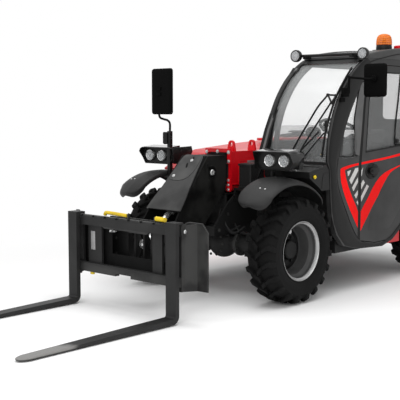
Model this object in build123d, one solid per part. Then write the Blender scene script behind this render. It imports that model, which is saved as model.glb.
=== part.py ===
from build123d import *
import os

# A compact telescopic handler with pallet forks, in millimetres.
# Vehicle frame used below: X forward and Y to the left of the driver, both from the
# point on the ground under the middle of the front axle; Z up. FRAME_SHIFT moves the
# finished pieces so that the origin is the bottom centre of the whole machine.
FRAME_SHIFT = (35, -141)

# ---- driving dimensions ------------------------------------------------------------
WHEELBASE = 1850
REAR_END = -2310
TYRE_R = 377
RIM_R = 212
WHEEL_Y = 617.5
KINGPIN_Y = 500
BOOM_HALF_W = 100
BOOM_BOTTOM = 805
BOOM_TOP = 1057
BOOM_MOUTH_X = 45
BOOM_WALL = 8
BOOM_PIVOT = (-1900, 1020)
LIFT_BASE_PIN = (-1750, 550)
LIFT_ROD_PIN = (-950, 720)
TILT_BASE_PIN = (274, 915)
TILT_ROD_PIN = (815, 440)
TOOL_PIVOT = (800, 340)
PIN_R = 22
PIN_CLEARANCE = 0.05
CAB_LEFT = 720
CAB_RIGHT = 132
CAB_BACK = -1640
CAB_WALL = 40
ROOF_Z = 1858
FORK_FACE_X = 1060
FORK_THICK = 33
FORK_WIDTH = 90
FORK_Y = 487
FORK_LENGTH = 1180
CARRIAGE_TOP = 634
CARRIAGE_BOTTOM = 237


# ---- small shape helpers -------------------------------------------------------------
def block(x0, x1, y0, y1, z0, z1):
    """A box between two corners."""
    size = (abs(x1 - x0), abs(y1 - y0), abs(z1 - z0))
    return Pos((x0 + x1) / 2, (y0 + y1) / 2, (z0 + z1) / 2) * Box(*size)


def outline(points, radius=0):
    """A closed flat face through the points, its corners rounded."""
    face = make_face(Polyline(*points, close=True))
    if radius:
        face = fillet(face.vertices(), radius)
    return face


def side_face(face, y0, y1):
    """An X-Z face given thickness along Y."""
    return Pos(0, y1, 0) * extrude(Plane.XZ * face, y1 - y0)


def side_plate(points, y0, y1, radius=0):
    """An X-Z outline given thickness along Y."""
    return side_face(outline(points, radius), y0, y1)


def plan_plate(points, z0, z1, radius=0):
    """An X-Y outline given thickness along Z."""
    return Pos(0, 0, z0) * extrude(outline(points, radius), z1 - z0)


def front_plate(points, x0, x1, radius=0):
    """A Y-Z outline given thickness along X."""
    return Pos(x0, 0, 0) * extrude(Plane.YZ * outline(points, radius), x1 - x0)


def rod_y(x, z, r, y0, y1):
    """A round bar along Y."""
    return Pos(x, (y0 + y1) / 2, z) * Rot(90, 0, 0) * Cylinder(r, y1 - y0)


def rod_x(y, z, r, x0, x1):
    """A round bar along X."""
    return Pos((x0 + x1) / 2, y, z) * Rot(0, 90, 0) * Cylinder(r, x1 - x0)


def rod_z(x, y, r, z0, z1):
    """An upright round bar."""
    return Pos(x, y, (z0 + z1) / 2) * Cylinder(r, z1 - z0)


def bar(p, q, r):
    """A round bar between two points in space."""
    a = Vector(*p)
    d = Vector(*q) - a
    return extrude(Plane(origin=a, z_dir=d) * Circle(r), d.length)


def tube_run(points, r):
    """Round bars joined by balls through the points."""
    run = bar(points[0], points[1], r)
    for p, q in zip(points[1:], points[2:]):
        run += Pos(*p) * Sphere(r) + bar(p, q, r)
    return run


def both_sides(shape):
    """The shape and its mirror image across the middle of the machine."""
    return shape + mirror(shape, Plane.XZ)


def save(shape, name):
    export_step(Pos(*FRAME_SHIFT, 0) * shape, f"parts/{name}.step")


os.makedirs("parts", exist_ok=True)


# ---- chassis ---------------------------------------------------------------------------
# Two upright plates joined by cross plates; at the back they rise to the boom pivot.
PLATE_IN = 112
PLATE_OUT = 128
ARM_Z = (772, 784)
DECK_Z = (776, 788)
SILL_Z = (300, 402)
CHASSIS_SIDE = [
    (250, 450), (250, 520), (90, 690), (20, 740), (20, ARM_Z[1]), (-80, ARM_Z[1]), (-80, 740),
    (-1500, 740), (-1790, 1120), (-1880, 1150), (-2000, 1120), (-2100, 900), (-2134, 450),
    (-1740, 450), (-1450, 330), (-420, 330), (-110, 450),
]
CROSS_PLATES = [
    # x0, x1, z0, z1
    (234, 250, 450, 520),
    (-90, 90, 500, 512),
    (-1450, -420, 330, 342),
    (-1940, -1800, 500, 512),
    (-2134, -2118, 450, 760),
]
OUTRIGGERS = (-1370, -935, -500)
FRONT_ARM = [(-330, 127), (20, 127), (160, 430), (160, 472), (-330, 472)]
chassis = both_sides(side_plate(CHASSIS_SIDE, PLATE_IN, PLATE_OUT))
for x0, x1, z0, z1 in CROSS_PLATES:
    chassis += block(x0, x1, -PLATE_OUT + 1, PLATE_OUT - 1, z0, z1)
chassis += rod_y(*BOOM_PIVOT, PIN_R + 3, -PLATE_OUT - 18, PLATE_OUT + 18)
chassis += rod_y(*LIFT_BASE_PIN, PIN_R, -PLATE_OUT - 6, PLATE_OUT + 6)
# arms that hold the front fenders and the lamp post, and the deck over the back wheels
side_frame = plan_plate(FRONT_ARM, *ARM_Z)
side_frame += block(-2118, -1664, PLATE_OUT - 1, 472, *DECK_Z)
# side sill with its outriggers: the cab stands on the left one, the engine on the right
side_frame += block(-1390, -480, 600, 672, *SILL_Z)
for x in OUTRIGGERS:
    side_frame += block(x - 20, x + 20, PLATE_OUT - 1, 601, SILL_Z[0] + 30, SILL_Z[1])
chassis += both_sides(side_frame)
save(chassis, "chassis_frame")

# ---- axles ------------------------------------------------------------------------------
EAR_GAP = 68
EAR_T = 28
BEAM_R = 62
HOUSING_R = 118


def axle(x):
    """Beam with a round differential housing and a forked end for each knuckle."""
    beam = rod_y(x, TYRE_R, BEAM_R, -400, 400)
    beam += Pos(x, 0, TYRE_R) * Sphere(HOUSING_R)
    beam += block(x - 70, x + 70, -PLATE_IN + 2, PLATE_IN - 2, 430, 500)
    fork_end = block(x - 45, x + 45, 370, 400, TYRE_R - EAR_GAP - EAR_T, TYRE_R + EAR_GAP + EAR_T)
    for end in (-1, 1):
        z0, z1 = sorted((TYRE_R + end * EAR_GAP, TYRE_R + end * (EAR_GAP + EAR_T)))
        fork_end += block(x - 45, x + 45, 370, KINGPIN_Y, z0, z1)
        fork_end += rod_z(x, KINGPIN_Y, 45, z0, z1)
        z0, z1 = sorted((TYRE_R + end * (EAR_GAP - 40), TYRE_R + end * (EAR_GAP + 10)))
        fork_end += rod_z(x, KINGPIN_Y, PIN_R, z0, z1)
    return beam + both_sides(fork_end)


save(axle(0) + axle(-WHEELBASE), "axles")


def knuckle(x, side):
    """Upright on the kingpin with its spindle pointing outwards."""
    body = rod_z(x, KINGPIN_Y, 52, TYRE_R - EAR_GAP + 5, TYRE_R + EAR_GAP - 5)
    body += rod_y(x, TYRE_R, 34, KINGPIN_Y, WHEEL_Y)
    # steering arm towards the back
    body += block(x - 150, x - 30, KINGPIN_Y - 18, KINGPIN_Y + 18, TYRE_R - 12, TYRE_R + 12)
    for end in (-1, 1):
        z0, z1 = sorted((TYRE_R + end * (EAR_GAP - 42), TYRE_R + end * EAR_GAP))
        body -= rod_z(x, KINGPIN_Y, PIN_R + PIN_CLEARANCE, z0, z1)
    return body if side > 0 else mirror(body, Plane.XZ)


# ---- wheels ------------------------------------------------------------------------------
HUB_BORE = 34 + PIN_CLEARANCE
RIM_PROFILE = [
    # radius, offset outwards from the wheel's middle
    (RIM_R, 107.5), (RIM_R - 7, 107.5), (190, 92), (188, 60), (168, 46), (167, -30), (146, -34),
    (118, -20), (62, -18), (56, 12), (48, 19), (0, 19), (0, 6), (HUB_BORE, 6), (HUB_BORE, -44),
    (160, -46), (176, -46), (190, -60), (190, -93), (RIM_R - 7, -107.5), (RIM_R, -107.5),
    (RIM_R, -101), (196, -88), (196, -56), (178, -40), (178, 42), (196, 56), (196, 88),
    (RIM_R, 101),
]
TYRE_PROFILE = [
    # radius, offset outwards from the wheel's middle
    (198, -84), (198, -58), (250, -70), (318, -92), (330, 0), (318, 92), (250, 70), (198, 58),
    (198, 84), (214, 100), (232, 116), (270, 127.5), (318, 124), (350, 116), (370, 104),
    (TYRE_R, 60), (TYRE_R, -60), (370, -104), (350, -116), (318, -124), (270, -127.5),
    (232, -116), (214, -100),
]


def turned(profile, x, side):
    """A profile turned about the wheel's axle."""
    solid = revolve(Plane.XY * outline(profile), Axis.Y)
    solid = Pos(x, WHEEL_Y, TYRE_R) * solid
    return solid if side > 0 else mirror(solid, Plane.XZ)


for x, end in ((0, "front"), (-WHEELBASE, "rear")):
    for side, hand in ((1, "left"), (-1, "right")):
        save(knuckle(x, side), f"{end}_{hand}_knuckle")
        save(turned(RIM_PROFILE, x, side), f"{end}_{hand}_rim")
        save(turned(TYRE_PROFILE, x, side), f"{end}_{hand}_tyre")

# ---- outer boom ----------------------------------------------------------------------------
BOOM_BACK = BOOM_PIVOT[0] - 90
outer = block(BOOM_BACK, BOOM_MOUTH_X, -BOOM_HALF_W, BOOM_HALF_W, BOOM_BOTTOM, BOOM_TOP)
outer += rod_y(*BOOM_PIVOT, 62, -BOOM_HALF_W - 5, BOOM_HALF_W + 5)
outer += both_sides(block(-1500, -45, BOOM_HALF_W - 1, BOOM_HALF_W + 4, 822, 985))
# flanged mouth: a base plate, a cap over the top and a foot at each lower corner
flange = front_plate([(-118, 768), (118, 768), (118, 1068), (-118, 1068)], 44, 60, 14)
CAP = [(-124, 968), (-94, 968), (-94, 1034), (94, 1034), (94, 968), (124, 968), (124, 1078), (-124, 1078)]
flange += front_plate(CAP, 59, 76)
flange += both_sides(block(59, 76, 92, 122, 764, 860))
mouth_w = BOOM_HALF_W - BOOM_WALL
flange -= block(40, 80, -mouth_w - 2, mouth_w + 2, BOOM_BOTTOM + BOOM_WALL - 2, BOOM_TOP - BOOM_WALL + 2)
outer += flange
# lifting eyes
EYE = [(18, 1050), (20, 1072), (30, 1118), (80, 1118), (90, 1072), (92, 1050)]
for x in (-20, -255):
    eye = front_plate(EYE, x - 9, x + 9) + rod_x(55, 1109, 27, x - 9, x + 9)
    outer += eye - rod_x(55, 1106, 15, x - 12, x + 12)
# lugs on both sides of the lift cylinder's rod eye, each with its half of the pin
LIFT_LUG = [(-1090, 808), (-1010, 688), (-890, 688), (-810, 808)]
lug = side_plate(LIFT_LUG, 44, 60) + rod_y(*LIFT_ROD_PIN, PIN_R + 8, 59, 68)
outer += both_sides(lug)
outer -= block(
    -1780, BOOM_MOUTH_X + 1, -mouth_w, mouth_w, BOOM_BOTTOM + BOOM_WALL, BOOM_TOP - BOOM_WALL)
outer -= rod_y(*BOOM_PIVOT, PIN_R + 3 + PIN_CLEARANCE, -120, 120)
save(outer, "boom_outer")

# ---- inner boom and its gooseneck head --------------------------------------------------------
# The head drops from the boom to the tool pivot between two cheeks that spread apart.
INNER_HALF_W = 84
HEAD_X = 100
CHEEK_T = 14
CHEEK_SPREAD = 6
FRONT_TOP = (322, 1032)
FRONT_LOW = (640, 664)
CHEEK = [
    (HEAD_X, 1032), FRONT_TOP, FRONT_LOW, (770, 480), (818, 398), (842, 350), (836, 318),
    (812, 300), (770, 304), (600, 380), (360, 545), (HEAD_X, 775),
]
inner = block(-1560, HEAD_X + 2, -INNER_HALF_W, INNER_HALF_W, BOOM_BOTTOM + 16, BOOM_TOP - 16)
inner -= block(-1561, 60, -INNER_HALF_W + 8, INNER_HALF_W - 8, BOOM_BOTTOM + 24, BOOM_TOP - 24)
cheek = Pos(HEAD_X, 88, 0) * Rot(0, 0, CHEEK_SPREAD) * Pos(-HEAD_X, 0, 0) * side_plate(CHEEK, 0, CHEEK_T)
head = both_sides(cheek + rod_y(*TOOL_PIVOT, 42, 153, 177))
# the sloping front plate widens with the cheeks
slope = Vector(FRONT_TOP[1] - FRONT_LOW[1], 0, FRONT_LOW[0] - FRONT_TOP[0])
head += loft([
    Plane(origin=(FRONT_TOP[0], 0, FRONT_TOP[1]), x_dir=(0, 1, 0), z_dir=(slope.Z, 0, -slope.X))
    * Pos(0, -6) * Rectangle(216, 12),
    Plane(origin=(FRONT_LOW[0], 0, FRONT_LOW[1]), x_dir=(0, 1, 0), z_dir=(slope.Z, 0, -slope.X))
    * Pos(0, -6) * Rectangle(316, 12),
])
head += block(HEAD_X, 318, -90, 90, 1018, 1032)
head += block(HEAD_X, HEAD_X + 22, -90, 90, 780, 1030)
head += rod_y(*TILT_BASE_PIN, PIN_R, -108, 108)
inner += head
inner -= rod_y(*TOOL_PIVOT, PIN_R + 4 + PIN_CLEARANCE, -200, 200)
save(inner, "boom_inner")


# ---- cylinders -------------------------------------------------------------------------------
ROD_END_GAP = 32
def cylinder_pair(base, end, barrel_r, rod_r, barrel_len, half_eye, name):
    """A barrel on its base pin and a rod whose eye, with its part of the pin, is opposite."""
    a = Vector(base[0], 0, base[1])
    b = Vector(end[0], 0, end[1])
    run = (b - a).normalized()
    start = a + run * (barrel_r * 0.7)
    stop = a + run * barrel_len
    barrel = bar(tuple(start), tuple(stop), barrel_r)
    barrel += rod_y(*base, PIN_R + 14, -half_eye, half_eye)
    barrel -= rod_y(*base, PIN_R + PIN_CLEARANCE, -half_eye - 1, half_eye + 1)
    bore_start = a + run * (barrel_r * 0.7 + 24)
    barrel -= bar(tuple(bore_start), tuple(stop + run), rod_r + PIN_CLEARANCE)
    rod = bar(tuple(bore_start + run * ROD_END_GAP), tuple(b), rod_r)
    rod += rod_y(*end, PIN_R + 9, -half_eye, half_eye)
    save(barrel, f"{name}_barrel")
    save(rod, f"{name}_rod")


cylinder_pair(LIFT_BASE_PIN, LIFT_ROD_PIN, 48, 25, 680, 40, "lift_cylinder")
cylinder_pair(TILT_BASE_PIN, TILT_ROD_PIN, 36, 20, 400, 32, "tilt_cylinder")

# ---- tool carrier -----------------------------------------------------------------------------
# A plate with a window, hung on the head by two ears, and two ribs for the tilt rod's eye.
PIVOT_EAR = [(852, 600), (852, 300), (800, 292), (762, 318), (762, 362), (800, 420)]
ROD_RIB = [(872, 560), (872, 333), (852, 333), (815, 404), (780, 440), (815, 476), (852, 560)]
carrier = block(850, 872, -300, 300, 330, 620)
carrier -= front_plate([(-110, 348), (110, 348), (110, 540), (-110, 540)], 840, 880)
ears = side_plate(PIVOT_EAR, 125, 150) + rod_y(*TOOL_PIVOT, PIN_R + 4, 125, 177)
ears += side_plate(ROD_RIB, 36, 52) + rod_y(*TILT_ROD_PIN, PIN_R + 2, 51, 60)
carrier += both_sides(ears)
save(carrier, "tool_carrier")

# ---- fork frame --------------------------------------------------------------------------------
# Two bars carry the forks; uprights and side plates tie them to the back frame, and a
# bent wing stands out on each side.
BAR_BACK = 990
BAR_FRONT = 1025
FRAME_HALF_W = 520
NOTCHES = (-420, -300, -180, -60, 60, 180, 300, 420)
UPRIGHTS = [
    # y0, y1
    (-FRAME_HALF_W, -445),
    (-375, -250),
    (255, 345),
    (445, FRAME_HALF_W),
]
fork_frame = block(BAR_BACK, BAR_FRONT, -FRAME_HALF_W, FRAME_HALF_W, 564, CARRIAGE_TOP)
for y in NOTCHES:
    fork_frame -= block(BAR_FRONT - 12, BAR_FRONT + 1, y - 13, y + 13, CARRIAGE_TOP - 12, CARRIAGE_TOP + 1)
lower = block(BAR_BACK, BAR_FRONT, -FRAME_HALF_W, FRAME_HALF_W, CARRIAGE_BOTTOM, 300)
lower -= block(BAR_BACK - 1, BAR_FRONT + 1, -75, 75, CARRIAGE_BOTTOM - 1, CARRIAGE_BOTTOM + 18)
fork_frame += lower
for y0, y1 in UPRIGHTS:
    fork_frame += block(BAR_BACK - 14, BAR_BACK + 4, y0, y1, 240, 630)
fork_frame += both_sides(block(874, BAR_BACK, 375, 395, 250, 610))
fork_frame += block(874, 890, -394, 394, 262, 326)
fork_frame += block(874, 890, -394, 394, 560, 606)
WING = [
    (996, 486), (996, 522), (972, 528), (900, 570), (894, 652), (882, 652), (882, 560),
    (968, 508), (976, 486),
]
wing = plan_plate(WING, 205, CARRIAGE_TOP)
wing -= front_plate([(610, CARRIAGE_TOP + 1), (660, CARRIAGE_TOP + 1), (660, 575)], 870, 1000)
fork_frame += both_sides(wing)
save(fork_frame, "fork_frame")


HEEL_R = 50
FORK_LOW = 9
BLADE_THICK = 36


def fork(side):
    """A pallet fork hooked on the upper bar, its blade tapering to a rounded tip."""
    back = FORK_FACE_X - FORK_THICK
    tip_x = FORK_FACE_X + FORK_LENGTH
    y0 = side * FORK_Y - FORK_WIDTH / 2
    y1 = y0 + FORK_WIDTH
    top = CARRIAGE_TOP + 18
    heel = Pos(back + HEEL_R, FORK_LOW + HEEL_R) * Circle(HEEL_R)
    heel &= Pos(back + HEEL_R / 2, FORK_LOW + HEEL_R / 2) * Rectangle(HEEL_R, HEEL_R)
    inner = (FORK_FACE_X, FORK_LOW + BLADE_THICK + 10)
    profile = outline([
        (back, top), (FORK_FACE_X, top), inner, (FORK_FACE_X + 10, FORK_LOW + BLADE_THICK),
        (tip_x, FORK_LOW + 8), (tip_x, FORK_LOW), (back + HEEL_R, FORK_LOW),
        (back + HEEL_R, FORK_LOW + HEEL_R), (back, FORK_LOW + HEEL_R),
    ]) + heel
    plan = [
        (900, y0), (tip_x - 60, y0), (tip_x, y0 + 28), (tip_x, y1 - 28), (tip_x - 60, y1), (900, y1),
    ]
    body = side_face(profile, y0, y1) & plan_plate(plan, 0, 700)
    hook = block(BAR_BACK - 8, back + 2, y0, y1, CARRIAGE_TOP + 4, CARRIAGE_TOP + 18)
    return body + hook


save(fork(1), "fork_left")
save(fork(-1), "fork_right")

# ---- cab -----------------------------------------------------------------------------------------
# The windshield's side curve; everything behind it is measured inwards from it.
SCREEN_LOW = (-305, 985)
SCREEN_MID = (-438, 1448)
SCREEN_TOP = (-790, 1750)
INNER_LEFT = CAB_LEFT - CAB_WALL - 1


def behind_screen(inset, y0, y1):
    """The cab's volume behind the windshield's curve, moved in by the inset."""
    low = (SCREEN_LOW[0] - inset, SCREEN_LOW[1])
    mid = (SCREEN_MID[0] - inset * 0.85, SCREEN_MID[1] - inset * 0.53)
    top = (SCREEN_TOP[0] - inset * 0.3, SCREEN_TOP[1] - inset)
    edges = ThreePointArc(low, mid, top) + Polyline(top, (CAB_BACK, top[1]), (CAB_BACK, low[1]), low)
    return side_face(make_face(edges), y0, y1)


SIDE_OUTER = [
    SCREEN_LOW, (-335, 930), (-352, 700), (-366, 590), (-425, 450), (-520, 356), (-727, 314),
    (-1058, 298), (-1205, 336), (-1355, 427), (-1450, 560), (-1560, 700), (CAB_BACK, 780),
    (CAB_BACK, 1750), SCREEN_TOP,
]
DOOR_SHAPE = [
    (-730, 950), (-727, 372), (-950, 335), (-1130, 338), (-1290, 415), (-1372, 500), (-1440, 640),
    (-1480, 820), (-1480, 1705), (-832, 1705), (-780, 1435),
]
QUARTER_WINDOW = [
    (-480, 1000), (-690, 1010), (-735, 1400), (-775, 1610), (-640, 1480), (-560, 1330), (-505, 1180),
]
side_edges = ThreePointArc(SCREEN_TOP, SCREEN_MID, SCREEN_LOW) + Polyline(*SIDE_OUTER)
side = side_face(make_face(side_edges), CAB_LEFT - CAB_WALL, CAB_LEFT)
side -= side_plate(DOOR_SHAPE, CAB_LEFT - CAB_WALL - 1, CAB_LEFT + 1)
side -= side_plate(QUARTER_WINDOW, CAB_LEFT - CAB_WALL - 1, CAB_LEFT + 1, 18)
# the windshield reaches out over the pillar's thin front flange
FLANGE_T = 12
flange_step = behind_screen(-1, CAB_LEFT - CAB_WALL - 1, CAB_LEFT - FLANGE_T)
side -= flange_step - behind_screen(46, 0, CAB_LEFT + 1)
# two outside hinges for the door: the pillar carries the upper and lower barrels
HINGE_AXIS = (-1480, 732)
HINGE_R = 12
HINGE_Z = (890, 1500)
LEAF = (CAB_LEFT - 1, CAB_LEFT + 6)
for z in HINGE_Z:
    for low, high in ((z - 62, z - 23), (z + 23, z + 62)):
        side += rod_z(*HINGE_AXIS, HINGE_R, low, high)
        side += block(HINGE_AXIS[0] - 46, HINGE_AXIS[0], *LEAF, low, high)
save(side, "cab_side_frame")

# right wall, front pillar, stepped back wall, floor, bulkhead and header in one shell
RIGHT_WALL = [
    (-330, 985), (-520, 760), (-520, 402), (-1366, 402), (-1366, 800), (CAB_BACK, 800),
    (CAB_BACK, 1750), (-860, 1750), (-860, 1700), (CAB_BACK + 80, 1700), (CAB_BACK + 80, 1085),
    (-330, 1085),
]
BULKHEAD = [(-330, 985), (-330, 960), (-500, 740), (-500, 402), (-530, 402), (-530, 750), (-365, 985)]
shell = behind_screen(0, CAB_RIGHT, CAB_RIGHT + 36) - behind_screen(46, CAB_RIGHT, CAB_RIGHT + 36)
shell += side_plate(RIGHT_WALL, CAB_RIGHT, CAB_RIGHT + 24) - block(-340, 0, 100, 200, 985, 1800)
shell += side_plate(BULKHEAD, CAB_RIGHT, INNER_LEFT)
shell += block(-1366, -1390, CAB_RIGHT, INNER_LEFT, 402, 822)
shell += block(-1380, CAB_BACK, CAB_RIGHT, INNER_LEFT, 800, 822)
shell += block(-1380, -502, CAB_RIGHT, INNER_LEFT, 402, 428)
back_wall = front_plate(
    [(CAB_RIGHT, 810), (INNER_LEFT, 810), (INNER_LEFT, 1750), (CAB_RIGHT, 1750)],
    CAB_BACK, CAB_BACK + 30,
)
BACK_WINDOW = (CAB_RIGHT + 213, CAB_LEFT - 90, 1285, 1690)


def back_window(gap, x0, x1):
    """The back window's outline, shrunk by the gap."""
    y0, y1, z0, z1 = BACK_WINDOW
    corners = [(y0 + gap, z0 + gap), (y1 - gap, z0 + gap), (y1 - gap, z1 - gap), (y0 + gap, z1 - gap)]
    return front_plate(corners, x0, x1, 40)


shell += back_wall - back_window(0, CAB_BACK - 1, CAB_BACK + 31)
shell += block(-860, -700, CAB_RIGHT, INNER_LEFT, 1716, 1750) & behind_screen(0, 100, CAB_LEFT)
save(shell, "cab_frame")

glass = behind_screen(8, CAB_RIGHT + 37, CAB_LEFT - FLANGE_T - 1) - behind_screen(14, 100, CAB_LEFT)
glass &= block(-900, 0, 0, 800, 986, 1714)
save(glass, "windshield")
windows = side_plate(QUARTER_WINDOW, CAB_LEFT - 28, CAB_LEFT - 22, 18)
SIDE_PANE = [(-330, 1086), (-1558, 1086), (-1558, 1699), (-330, 1699)]
side_pane = side_plate(SIDE_PANE, CAB_RIGHT + 8, CAB_RIGHT + 14)
windows += side_pane & behind_screen(48, 100, 200)
windows += back_window(1, CAB_BACK + 10, CAB_BACK + 16)

ROOF = [
    (-770, CAB_RIGHT - 5), (-770, CAB_LEFT + 2), (CAB_BACK - 10, CAB_LEFT + 2),
    (CAB_BACK - 10, CAB_RIGHT - 5),
]
ROOF_OPENING = [(-835, 195), (-835, 615), (-1100, 615), (-1150, 535), (-1560, 535), (-1560, 195)]
ROOF_SKIN = 18


def roof_arch(drop):
    """The roof's length under its arched top, the top lowered by drop."""
    front = (ROOF[0][0], 1772 - drop)
    crown = (-1160, 1833 - drop)
    back = (ROOF[2][0], ROOF_Z - drop)
    arch = ThreePointArc(front, crown, back)
    foot = Polyline(back, (back[0], 1751), (front[0], 1751), front)
    return side_face(make_face(arch + foot), ROOF[0][1], ROOF[1][1])


roof = roof_arch(0) & plan_plate(ROOF, 1751, ROOF_Z + 20, 60)
roof = fillet(roof.faces().sort_by(Axis.Z)[-1].edges(), 12)
roof -= roof_arch(ROOF_SKIN) & block(-800, CAB_BACK + 30, CAB_RIGHT + 30, CAB_LEFT - 44, 1750, ROOF_Z)
roof_opening = plan_plate(ROOF_OPENING, 1700, ROOF_Z + 20, 30)
save(roof - roof_opening, "cab_roof")
windows += (roof_arch(4) - roof_arch(10)) & roof_opening
save(windows, "cab_windows")

# door: lower panel with the window frame above, its glass and handle
DOOR_GAP = 6
DOOR_WINDOW = [(-800, 1040), (-1420, 1085), (-1420, 1650), (-880, 1650), (-830, 1430)]
door = side_face(offset(outline(DOOR_SHAPE), -DOOR_GAP), CAB_LEFT - 34, CAB_LEFT)
door -= side_plate(DOOR_WINDOW, CAB_LEFT - CAB_WALL - 1, CAB_LEFT + 1, 20)
door += rod_y(-925, 900, 46, CAB_LEFT - 1, CAB_LEFT + 6)
door += block(-962, -888, CAB_LEFT + 5, CAB_LEFT + 20, 892, 908)
for z in HINGE_Z:
    door += rod_z(*HINGE_AXIS, HINGE_R, z - 21, z + 21)
    door += block(HINGE_AXIS[0], HINGE_AXIS[0] + 46, *LEAF, z - 21, z + 21)
save(door, "door_panel")
save(side_plate(DOOR_WINDOW, CAB_LEFT - 24, CAB_LEFT - 19, 20), "door_glass")

# seat, dashboard and steering
cushion = fillet(block(-1340, -900, 230, 640, 620, 720).edges(), 24)
backrest = Pos(-1330, 435, 975) * Rot(0, -8, 0) * fillet(Box(90, 400, 560).edges(), 28)
seat = cushion + backrest + block(-1320, -1000, 290, 580, 428, 640)
save(seat, "seat")
DASH = [
    (-372, 983), (-600, 984), (-700, 976), (-752, 950), (-764, 905), (-700, 862), (-560, 840),
    (-536, 756),
]
dash = side_plate(DASH, CAB_RIGHT + 42, INNER_LEFT - 6)
COLUMN_DIR = Vector(-0.5, 0, 0.866)
WHEEL_CENTRE = Vector(-870, 430, 1210)
hub = WHEEL_CENTRE - COLUMN_DIR * 6
foot = hub - COLUMN_DIR * 290
dash += bar(tuple(foot), tuple(hub), 26)
save(dash, "dashboard")
wheel_plane = Plane(origin=WHEEL_CENTRE, z_dir=COLUMN_DIR)
steer = wheel_plane * Torus(155, 12)
steer += wheel_plane * Cylinder(34, 22, align=(Align.CENTER, Align.CENTER, Align.MIN))
for turn in (90, 210, 330):
    steer += wheel_plane * Rot(0, 0, turn) * Pos(80, 0, 8) * Box(144, 24, 8)
save(steer, "steering_wheel")

# ---- fenders -------------------------------------------------------------------------------------
# A crowned section turned about a line parallel to the axle, ahead of the front wheel's
# middle and behind the back wheel's.
FENDER_AHEAD = 100
FENDER_Z = 392
FENDER_SECTION = [
    # radius, distance from the machine's middle
    (462, 475), (497, 475), (503, 488), (505, 560), (500, 640), (489, 700), (472, 736), (464, 745),
    (459, 740), (466, 731), (482, 696), (493, 637), (498, 560), (496, 492), (490, 482), (462, 482),
]


NOSE_R = 90


def fender(x, ahead, keep, floor_z, ends):
    """A hollow wheel cover kept inside a side view outline, on a strut from its arm."""
    ring = revolve(Plane.XY * outline(FENDER_SECTION), Axis.Y)
    ring = Pos(x + ahead, 0, FENDER_Z) * ring
    strut = block(x + ahead / 4 - 20, x + ahead / 4 + 20, 462, 476, floor_z, 872)
    # both ends are rounded in plan
    low, high = ends
    plan = plan_plate([(low, 474), (high, 474), (high, 746), (low, 746)], 600, 1000, NOSE_R)
    return both_sides((ring & side_plate(keep, 470, 750) & plan) + strut)


FRONT_KEEP = [(-330, 705), (60, 705), (420, 735), (560, 760), (560, 1000), (-400, 1000)]
REAR_KEEP = [(-1660, 770), (-1910, 705), (-2270, 735), (-2303, 760), (-2303, 1000), (-1660, 1000)]
fenders = fender(0, FENDER_AHEAD, FRONT_KEEP, ARM_Z[1], (-292, 462))
fenders += fender(-WHEELBASE, -FENDER_AHEAD, REAR_KEEP, DECK_Z[1], (-2304, -1560))
save(fenders, "fenders")

# ---- cowl, lamp pods and mirrors -----------------------------------------------------------------
COWL = [(-90, 925), (-296, 966), (-326, 930), (-340, 785), (-240, 785), (-200, 815), (-95, 880)]
cowl = side_plate(COWL, 310, 716)
cowl += plan_plate([(40, 175), (40, 290), (-120, 290), (-120, 175)], 785, 965, 10)
cowl += block(-235, -100, 250, 320, 785, 812)
save(cowl, "front_cowl")

POD_PLAN = [(148, 412), (148, 712), (120, 752), (-40, 722), (-60, 560), (-20, 430)]
POD_SIDE = [(170, 1075), (150, 965), (120, 935), (-40, 985), (-62, 1020), (-62, 1075)]
LAMP_Y = (535, 661)
LAMP_Z = 1005
POST = (125, -448)
pod = plan_plate(POD_PLAN, 945, 1068) & side_plate(POD_SIDE, 400, 760)
for y in LAMP_Y:
    pod -= rod_x(y, LAMP_Z, 52, 122, 180)
pods = both_sides(pod)
pods += rod_z(*POST, 18, ARM_Z[1], 1200) + block(90, 150, -476, -400, 1105, 1185)
pods += block(-90, -30, 480, 690, 905, 990) - side_plate(COWL, 300, 720)
save(pods, "headlamp_housings")
inserts = rod_x(LAMP_Y[0], LAMP_Z, 50, 123, 136) + rod_x(LAMP_Y[1], LAMP_Z, 50, 123, 136)
save(both_sides(inserts), "headlamps")

right_mirror = fillet(block(86, 114, -664, -448, 1326, 1680).edges().filter_by(Axis.X), 22)
ARM = [(125, -448, 1201), (125, -448, 1255), (112, -500, 1285), (108, -560, 1295), (100, -590, 1335)]
right_mirror += tube_run(ARM, 9)
left_mirror = fillet(block(-634, -606, 822, 1032, 1424, 1700).edges().filter_by(Axis.X), 24)
left_mirror += rod_y(-612, 1610, 16, CAB_LEFT, CAB_LEFT + 8)
left_mirror += bar((-612, CAB_LEFT + 6, 1610), (-606, 870, 1580), 9)
save(right_mirror + left_mirror, "mirrors")

LIGHT_Z = 1784
ROOF_LAMPS = [
    # x, y
    (-692, 147),
    (-724, 735),
]
LAMP_SHELL_R = 36
light_bar = bar((*ROOF_LAMPS[0], LIGHT_Z), (*ROOF_LAMPS[1], LIGHT_Z), 14)
for x, y in ROOF_LAMPS:
    light_bar += rod_x(y, LIGHT_Z, LAMP_SHELL_R, x - 18, x + 36)
for y in (212, 640):
    light_bar += block(ROOF[0][0], -694, y - 12, y + 12, 1755, LIGHT_Z)
save(light_bar, "roof_light_bar")
beacon = rod_z(-1200, 614, 58, 1820, 1868) - roof_arch(0)
beacon += rod_z(-1200, 614, 52, 1867, 1910)
save(beacon + Pos(-1200, 614, 1905) * Sphere(51.9), "beacon")

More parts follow.
